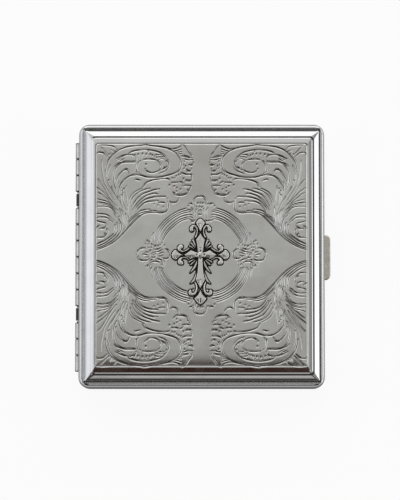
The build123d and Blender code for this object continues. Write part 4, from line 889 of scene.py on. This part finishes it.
def plated(name, light, dark, rough, grain=(1, 1, 1), grain_scale=9000, scratch=0.35, edge=0.00012, blotch=160, bump=0.12, worn=None):
    """Plated metal: cloudy tone, directional grain, hairline scratches, brighter worn edges."""
    n = Nodes(name)
    cloud = n.noise(blotch, detail=5, dist=0.4)
    fine = n.noise(grain_scale, stretch=grain, detail=3, rough=0.7)
    hair1 = n.noise(2600, stretch=(1, 0.03, 1), detail=2, rot=(0, 0, 0.5))
    hair2 = n.noise(2300, stretch=(0.04, 1, 1), detail=2, rot=(0, 0, 0.9))
    hair = n.math("MAXIMUM", n.remap(hair1, 0.66, 0.74), n.remap(hair2, 0.67, 0.75))
    hair = n.math("MULTIPLY", hair, n.remap(n.noise(300), 0.42, 0.66))
    col = n.mix(n.remap(cloud, 0.32, 0.68), light, dark)
    wear, soft = (n.edge_wear(edge) if edge else (None, None))
    if wear is not None:
        wear = n.math("MULTIPLY", wear, n.remap(n.noise(900), 0.3, 0.6, 0.35, 1.0))
        col = n.mix(wear, col, worn or tuple(min(1, c * 1.12) for c in light))
    n.link(n.mix(n.math("MULTIPLY", hair, 0.25), col, tuple(c * 0.7 for c in dark)), n.b.inputs["Base Color"])
    r = n.remap(n.math("ADD", n.math("MULTIPLY", cloud, 0.5), n.math("MULTIPLY", fine, 0.5)), 0.3, 0.7, rough[0], rough[1])
    r = n.math("ADD", r, n.math("MULTIPLY", hair, 0.12 * scratch))
    n.link(r, n.b.inputs["Roughness"])
    n.b.inputs["Metallic"].default_value = 1.0
    h = n.math("SUBTRACT", n.math("MULTIPLY", fine, 0.6), n.math("MULTIPLY", hair, scratch))
    n.link(n.bump(h, bump, 0.00002, soft), n.b.inputs["Normal"])
    return n.m


def hinge_material():
    """Warm nickel knuckles with a dark line of painted shade at every joint between them, and fainter painted shade
    beside it.
    """
    m = plated("warm_nickel", (0.95, 0.93, 0.885), (0.80, 0.775, 0.73), (0.18, 0.3), grain=(1, 0.08, 1), grain_scale=5200, blotch=420, scratch=0.8, bump=0.25)
    n = Nodes.__new__(Nodes)
    n.m, n.t = m, m.node_tree
    n.b = next(x for x in n.t.nodes if x.type == "BSDF_PRINCIPLED")
    co = n.t.nodes.new("ShaderNodeNewGeometry").outputs["Position"]
    sep = n.t.nodes.new("ShaderNodeSeparateXYZ")
    n.link(co, sep.inputs[0])
    y = n.math("ADD", sep.outputs["Y"], (7 * 5.94) * MM)
    cell_ = n.math("DIVIDE", y, 5.94 * MM)
    off = n.math("ABSOLUTE", n.math("SUBTRACT", cell_, n.math("ROUND", cell_, 0.0)), 0.0)
    # painted shade: black in the gap at each joint, and a fainter painted shade beside it
    painted_gap_shade = n.remap(off, 0.038, 0.052, 1.0, 0.0)
    shade = n.remap(off, 0.05, 0.12, 0.4, 0.0)
    src = n.b.inputs["Base Color"].links[0].from_socket
    n.link(n.mix(n.math("MAXIMUM", painted_gap_shade, shade), src, (0.035, 0.03, 0.024)), n.b.inputs["Base Color"])
    return m


def engraved_material():
    """Satin panel inside a polished border; the cuts hold a little dark dirt, and the crease and the line above the
    bevel get painted shade.
    """
    n = Nodes("engraved_plate")
    cut_and_crease_shade = n.attribute("cut_and_crease_shade")
    sep = n.new("ShaderNodeSeparateXYZ")
    n.link(n.co, sep.inputs[0])
    ix0 = n.remap(sep.outputs["X"], (cx0 - HW + SIDE["l"][3] - 0.1) * MM, (cx0 - HW + SIDE["l"][3] + 0.1) * MM)
    ix1 = n.remap(sep.outputs["X"], (cx0 + HW - SIDE["r"][3] - 0.1) * MM, (cx0 + HW - SIDE["r"][3] + 0.1) * MM, 1, 0)
    iy1 = n.remap(sep.outputs["Y"], (HH - SIDE["t"][3] - 0.1) * MM, (HH - SIDE["t"][3] + 0.1) * MM, 1, 0)
    iy0 = n.remap(sep.outputs["Y"], (-HH + SIDE["b"][3] - 0.1) * MM, (-HH + SIDE["b"][3] + 0.1) * MM)
    panel = n.math("MULTIPLY", n.math("MULTIPLY", ix0, ix1), n.math("MULTIPLY", iy0, iy1))
    cloud = n.noise(85, detail=5, dist=0.6)
    stain = n.noise(38, detail=3, dist=0.8)
    satin = n.noise(5200, stretch=(1, 0.22, 1), detail=3, rough=0.7)
    hair = n.math("MAXIMUM", n.remap(n.noise(2400, stretch=(1, 0.03, 1), detail=2, rot=(0, 0, 0.35)), 0.68, 0.75),
                  n.remap(n.noise(2100, stretch=(0.035, 1, 1), detail=2, rot=(0, 0, 0.75)), 0.68, 0.75))
    hair = n.math("MULTIPLY", hair, n.remap(n.noise(240), 0.45, 0.65))
    tone = n.mix(n.remap(cloud, 0.3, 0.7), (0.82, 0.822, 0.79), (0.74, 0.733, 0.695))
    tone = n.mix(n.math("MULTIPLY", n.remap(stain, 0.52, 0.72), 0.5), tone, (0.62, 0.575, 0.525))
    tone = n.mix(n.math("MULTIPLY", n.remap(n.noise(21, detail=2, dist=0.5), 0.52, 0.68), 0.4), tone, (0.60, 0.575, 0.545))
    bright = n.mix(n.remap(cloud, 0.35, 0.65), (0.90, 0.90, 0.90), (0.85, 0.855, 0.86))
    col = n.mix(panel, bright, tone)
    col = n.mix(n.math("MULTIPLY", hair, 0.22), col, (0.5, 0.5, 0.49))
    # dark dirt in the engraved cuts; the strong black from values above 1 is painted shade in the crease and along the
    # line above the bevel
    groove_dirt_and_crease_shade = n.math("MULTIPLY", n.remap(cut_and_crease_shade, 0.30, 0.86), n.remap(n.noise(600, detail=3), 0.3, 0.6, 0.6, 1.0))
    groove_dirt_and_crease_shade = n.math("MAXIMUM", n.math("MULTIPLY", groove_dirt_and_crease_shade, 0.9), n.remap(cut_and_crease_shade, 1.0, 1.5, 0.0, 0.95))
    col = n.mix(groove_dirt_and_crease_shade, col, (0.05, 0.046, 0.042))
    n.link(col, n.b.inputs["Base Color"])
    rp = n.remap(n.math("ADD", n.math("MULTIPLY", cloud, 0.4), n.math("MULTIPLY", satin, 0.6)), 0.35, 0.65, 0.125, 0.19)
    rb = n.remap(cloud, 0.35, 0.65, 0.08, 0.14)
    mixr = n.new("ShaderNodeMix", data_type="FLOAT")
    n.link(panel, mixr.inputs["Factor"])
    n.link(rb, mixr.inputs["A"])
    n.link(rp, mixr.inputs["B"])
    n.link(n.math("ADD", mixr.outputs["Result"], n.math("MULTIPLY", hair, 0.08)), n.b.inputs["Roughness"])
    n.b.inputs["Metallic"].default_value = 1.0
    h = n.math("SUBTRACT", n.math("MULTIPLY", satin, n.math("MULTIPLY", panel, 0.5)), n.math("MULTIPLY", hair, 0.4))
    n.link(n.bump(h, 0.12, 0.00002), n.b.inputs["Normal"])
    return n.m


def cross_material():
    """Bright warm cast silver, blackened where the relief is low."""
    n = Nodes("antiqued_cast_silver")
    rec = n.attribute("recess")
    cloud = n.noise(420, detail=5, dist=0.5)
    grit = n.noise(5200, detail=4, rough=0.7)
    rib_n = n.noise(2600, stretch=(1, 0.12, 1), detail=2)
    col = n.mix(n.remap(cloud, 0.3, 0.7), (0.99, 0.97, 0.925), (0.90, 0.87, 0.81))
    geo = n.new("ShaderNodeNewGeometry")
    worn = n.remap(geo.outputs["Pointiness"], 0.5, 0.56)
    col = n.mix(n.math("MULTIPLY", worn, 0.6), col, (0.99, 0.98, 0.95))
    spots = n.math("MULTIPLY", n.remap(n.noise(1500, detail=3), 0.62, 0.72), n.remap(cloud, 0.4, 0.6))
    black = n.math("MAXIMUM", n.remap(n.math("ADD", rec, n.math("MULTIPLY", n.math("SUBTRACT", grit, 0.5), 0.3)), 0.25, 0.75), n.math("MULTIPLY", spots, 0.35))
    col = n.mix(black, col, (0.012, 0.011, 0.010))
    n.link(col, n.b.inputs["Base Color"])
    n.link(n.remap(black, 0.0, 1.0, 1.0, 0.0), n.b.inputs["Metallic"])
    n.b.inputs["Specular IOR Level"].default_value = 0.22
    n.link(n.remap(black, 0.0, 1.0, 0.19, 0.6), n.b.inputs["Roughness"])
    h = n.math("ADD", n.math("MULTIPLY", grit, 0.5), n.math("MULTIPLY", rib_n, 0.5))
    n.link(n.bump(h, 0.22, 0.00004), n.b.inputs["Normal"])
    return n.m


mats = {
    "polished_chrome": plated("polished_chrome_plate", (0.90, 0.902, 0.90), (0.84, 0.842, 0.845), (0.12, 0.19), blotch=110, scratch=0.4, bump=0.03),
    "engraved_chrome": engraved_material(),
    "liner_steel": plated("satin_liner_sheet", (0.80, 0.795, 0.77), (0.74, 0.735, 0.71), (0.26, 0.34), grain=(1, 0.03, 1), grain_scale=4200, scratch=0.4, blotch=38, bump=0.07),
    "hinge_nickel": hinge_material(),
    "spring_steel": plated("oiled_spring_wire", (0.19, 0.18, 0.165), (0.10, 0.095, 0.09), (0.25, 0.42), grain_scale=7000, blotch=800, edge=None, bump=0.25),
    "latch_steel": plated("pressed_steel", (0.66, 0.66, 0.65), (0.52, 0.52, 0.51), (0.22, 0.38), grain=(0.05, 1, 1), grain_scale=4600, blotch=260, scratch=0.8, bump=0.3),
    "arm_chrome": plated("spring_strip_chrome", (0.84, 0.84, 0.84), (0.74, 0.74, 0.735), (0.12, 0.24), grain=(0.04, 1, 1), grain_scale=4200, blotch=150, scratch=0.7, bump=0.22),
    "satin_nickel": plated("brushed_satin_nickel", (0.90, 0.85, 0.745), (0.74, 0.695, 0.605), (0.26, 0.4), grain=(1, 0.02, 0.06), grain_scale=3800, blotch=500, scratch=0.8, bump=0.55),
    "antiqued_silver": cross_material(),
}


def finish_with(ob, slot):
    ob.data.materials.clear()
    ob.data.materials.append(mats[slot])


# carried-over CAD nodes take the finish of their own slot
for node in nodes.values():
    for ms in node.material_slots:
        base = (ms.material.name if ms.material else "").split(".")[0]
        if base in mats:
            ms.material = mats[base]

cuts = cut_field()
lid_plate = build_plate("lid_cover_plate_engraved", cuts, False)
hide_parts("lid_cover_plate")
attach(lid_plate, "lid_half")
back_plate = build_plate("back_cover_plate_engraved", cuts, True)
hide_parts("back_cover_plate")
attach(back_plate, "back_half")
for ob in (lid_plate, back_plate):
    finish_with(ob, "engraved_chrome")

cross = build_cross("cross_ornament_cast")
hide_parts("cross_ornament")
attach(cross, "lid_half")
finish_with(cross, "antiqued_silver")

spring_y = 20.79
wires = hinge_spring("upper", spring_y, 1, "hinge_spring_upper")
wires += hinge_spring("lower", -spring_y, -1, "hinge_spring_lower")
wires += arm_spring("back", 8.4, False, "back_arm_spring")
wires += arm_spring("lid", 10.6, True, "lid_arm_spring")
wires += latch_spring("a", 7.3, True)
wires += latch_spring("b", -7.3, False)
for ob in wires:
    finish_with(ob, "spring_steel")

# ---------------------------------------------------------------------------
# Studio: pale floor, soft boxes, soft surroundings, and the camera
# ---------------------------------------------------------------------------
floor = new_object("studio_floor", [(-3, -3, -0.0002), (3, -3, -0.0002), (3, 3, -0.0002), (-3, 3, -0.0002)], [(0, 1, 2, 3)], smooth=False)
fm = bpy.data.materials.new("pale_floor")
fm.use_nodes = True
fb = fm.node_tree.nodes["Principled BSDF"]
fb.inputs["Base Color"].default_value = (0.13, 0.13, 0.13, 1)
fb.inputs["Roughness"].default_value = 1.0
fb.inputs["Specular IOR Level"].default_value = 0.0
fb.inputs["Emission Color"].default_value = (1, 1, 1, 1)
# the paper glows evenly; seen in polished metal its glow drops close to the case as a painted contact shadow
ft = fm.node_tree


def fnode(kind, op=None, a=None, b=None):
    n = ft.nodes.new(kind)
    if op:
        n.operation = op
    for k, x in ((0, a), (1, b)):
        if isinstance(x, (int, float)):
            n.inputs[k].default_value = x
        elif x is not None:
            ft.links.new(x, n.inputs[k])
    return n


fpos = ft.nodes.new("ShaderNodeSeparateXYZ")
ft.links.new(ft.nodes.new("ShaderNodeNewGeometry").outputs["Position"], fpos.inputs[0])
fdx = fnode("ShaderNodeMath", "SUBTRACT", fnode("ShaderNodeMath", "ABSOLUTE", fnode("ShaderNodeMath", "SUBTRACT", fpos.outputs["X"], cx0 * MM).outputs[0]).outputs[0], HW * MM)
fdy = fnode("ShaderNodeMath", "SUBTRACT", fnode("ShaderNodeMath", "ABSOLUTE", fpos.outputs["Y"]).outputs[0], HH * MM)
# painted contact shadow round the case, seen only by glossy rays
painted_contact_shadow = ft.nodes.new("ShaderNodeMapRange")
painted_contact_shadow.interpolation_type = "SMOOTHSTEP"
painted_contact_shadow.inputs["From Max"].default_value = 0.055
painted_contact_shadow.inputs["To Min"].default_value = 0.09
painted_contact_shadow.inputs["To Max"].default_value = 0.56
ft.links.new(fnode("ShaderNodeMath", "MAXIMUM", fdx.outputs[0], fdy.outputs[0]).outputs[0], painted_contact_shadow.inputs["Value"])
lp = ft.nodes.new("ShaderNodeLightPath")
mr = ft.nodes.new("ShaderNodeMapRange")
mr.inputs["To Min"].default_value = 0.905
ft.links.new(painted_contact_shadow.outputs["Result"], mr.inputs["To Max"])
ft.links.new(lp.outputs["Is Glossy Ray"], mr.inputs["Value"])
fm.node_tree.links.new(mr.outputs["Result"], fb.inputs["Emission Strength"])
floor.data.materials.append(fm)

world = bpy.data.worlds.new("studio")
bpy.context.scene.world = world
world.use_nodes = True
wt = world.node_tree
bg = wt.nodes["Background"]
wco = wt.nodes.new("ShaderNodeTexCoord").outputs["Generated"]


def lobe(direction, a, b, prev, colour):
    d = Vector(direction).normalized()
    dot = wt.nodes.new("ShaderNodeVectorMath")
    dot.operation = "DOT_PRODUCT"
    wt.links.new(wco, dot.inputs[0])
    dot.inputs[1].default_value = d
    mr = wt.nodes.new("ShaderNodeMapRange")
    mr.interpolation_type = "SMOOTHSTEP"
    mr.inputs["From Min"].default_value = a
    mr.inputs["From Max"].default_value = b
    wt.links.new(dot.outputs["Value"], mr.inputs["Value"])
    mx = wt.nodes.new("ShaderNodeMix")
    mx.data_type = "RGBA"
    wt.links.new(mr.outputs["Result"], mx.inputs["Factor"])
    if hasattr(prev, "links"):
        wt.links.new(prev, mx.inputs["A"])
    else:
        mx.inputs["A"].default_value = (*prev, 1)
    mx.inputs["B"].default_value = (*colour, 1)
    return mx.outputs["Result"]


def wmath(op, a, b):
    n = wt.nodes.new("ShaderNodeMath")
    n.operation = op
    for k, x in ((0, a), (1, b)):
        if isinstance(x, (int, float)):
            n.inputs[k].default_value = x
        else:
            wt.links.new(x, n.inputs[k])
    return n.outputs[0]


def wstep(v, a, b):
    n = wt.nodes.new("ShaderNodeMapRange")
    n.interpolation_type = "SMOOTHSTEP"
    n.inputs["From Min"].default_value = a
    n.inputs["From Max"].default_value = b
    wt.links.new(v, n.inputs["Value"])
    return n.outputs["Result"]


def wmix(fac, prev, colour):
    n = wt.nodes.new("ShaderNodeMix")
    n.data_type = "RGBA"
    wt.links.new(fac, n.inputs["Factor"])
    wt.links.new(prev, n.inputs["A"])
    n.inputs["B"].default_value = (*colour, 1)
    return n.outputs["Result"]


wsep = wt.nodes.new("ShaderNodeSeparateXYZ")
wt.links.new(wco, wsep.inputs[0])
toward = wmath("MULTIPLY", wsep.outputs["Y"], -1.0)
narrow = wmath("SUBTRACT", 1.0, wstep(wmath("ABSOLUTE", wsep.outputs["X"], 0.0), 0.40, 0.75))
def band(axis, sign, a0, a1, b0, b1, half, colour, prev, right=None):
    """A long soft panel across one direction: in from a0..a1, out at b0..b1 of the sine off the zenith."""
    t = wmath("MULTIPLY", wsep.outputs[axis], sign)
    side = wsep.outputs["X" if axis == "Y" else "Y"]
    across = wmath("ABSOLUTE", side, 0.0)
    f = wmath("MULTIPLY", wstep(t, a0, a1), wmath("SUBTRACT", 1.0, wstep(t, b0, b1)))
    f = wmath("MULTIPLY", f, wmath("SUBTRACT", 1.0, wstep(across, half[0], half[1])))
    if right:
        f = wmath("MULTIPLY", f, wmath("SUBTRACT", 1.0, wmath("MULTIPLY", wstep(side, right[0], right[1]), right[2])))
    return wmix(f, prev, colour)


tone = lobe((0, 0.06, 1), 0.10, 0.70, (0.17, 0.175, 0.18), (0.488, 0.492, 0.486))
tone = band("Y", -1.0, 0.24, 0.38, 0.93, 0.98, (0.62, 0.88), (0.036, 0.033, 0.031), tone)
tone = band("Y", 1.0, 0.20, 0.42, 0.90, 0.96, (0.45, 0.75), (0.58, 0.58, 0.57), tone)
tone = band("Y", 1.0, 0.70, 0.84, 0.87, 0.95, (0.45, 0.75), (1.35, 1.35, 1.35), tone)
tone = band("X", -1.0, 0.37, 0.62, 0.86, 0.94, (0.45, 0.78), (0.86, 0.87, 0.91), tone)
tone = band("X", -1.0, 0.76, 0.90, 0.97, 0.995, (0.45, 0.78), (0.50, 0.515, 0.57), tone)
tone = band("X", 1.0, 0.17, 0.30, 0.58, 0.68, (0.45, 0.75), (0.26, 0.258, 0.252), tone)
tone = band("X", 1.0, 0.68, 0.80, 0.85, 0.93, (0.45, 0.75), (1.3, 1.31, 1.34), tone)
# the room on the near side: a dim warm strip that ends towards the right, a paler one, and a dark one
tone = band("Y", -1.0, -0.09, 0.06, 0.30, 0.37, (0.28, 0.62), (0.030, 0.012, 0.008), tone, (0.045, 0.12, 0.95))
tone = band("Y", -1.0, 0.33, 0.42, 0.72, 0.86, (0.045, 0.10), (0.46, 0.455, 0.44), tone)
tone = band("Y", -1.0, 0.74, 0.88, 0.94, 0.985, (0.40, 0.66), (0.03, 0.028, 0.027), tone)
# the low corners of the room are a calm mid grey
low = wmath("SUBTRACT", 1.0, wstep(wsep.outputs["Z"], 0.36, 0.50))
corner = wmath("MULTIPLY", wstep(wmath("ABSOLUTE", wsep.outputs["X"], 0.0), 0.46, 0.62),
               wstep(wmath("ABSOLUTE", wsep.outputs["Y"], 0.0), 0.46, 0.62))
tone = wmix(wmath("MULTIPLY", low, corner), tone, (0.47, 0.475, 0.47))
see = wt.nodes.new("ShaderNodeLightPath")
tone = wmix(see.outputs["Is Camera Ray"], tone, (0.905, 0.905, 0.905))
wt.links.new(tone, bg.inputs["Color"])
bg.inputs["Strength"].default_value = 1.0


def soft_box(name, at, target, w, h, radiance, colour=(1, 1, 1)):
    ld = bpy.data.lights.new(name, "AREA")
    ld.shape = "RECTANGLE"
    ld.size, ld.size_y = w, h
    ld.energy = radiance * math.pi * w * h
    ld.color = colour
    ob = bpy.data.objects.new(name, ld)
    bpy.context.scene.collection.objects.link(ob)
    ob.location = at
    ob.rotation_mode = "QUATERNION"
    ob.rotation_quaternion = (Vector(target) - Vector(at)).to_track_quat("-Z", "Y")
    return ob


soft_box("box_top", (0, 0.78, 0.62), (0, 0, 0), 0.9, 0.34, 0.35)
soft_box("box_right", (0.80, 0.05, 0.60), (0, 0, 0), 0.34, 0.7, 0.3)

# camera nearly straight above, a little towards the lower edge
TILT = math.radians(5.5)
DIST = 1.2
aim = Vector((-1.07 * MM, 2.60 * MM, 9.5 * MM))
cd = bpy.data.cameras.new("camera")
cd.sensor_width = 36
cd.lens = 36 * DIST / 0.1811
cam = bpy.data.objects.new("camera", cd)
bpy.context.scene.collection.objects.link(cam)
cam.location = aim + Vector((0, -math.sin(TILT), math.cos(TILT))) * DIST
cam.rotation_euler = (TILT, 0, 0)
cd.clip_start, cd.clip_end = 0.1, 10
bpy.context.scene.camera = cam
bpy.context.scene.view_settings.view_transform = "Standard"
bpy.context.scene.view_settings.look = "None"
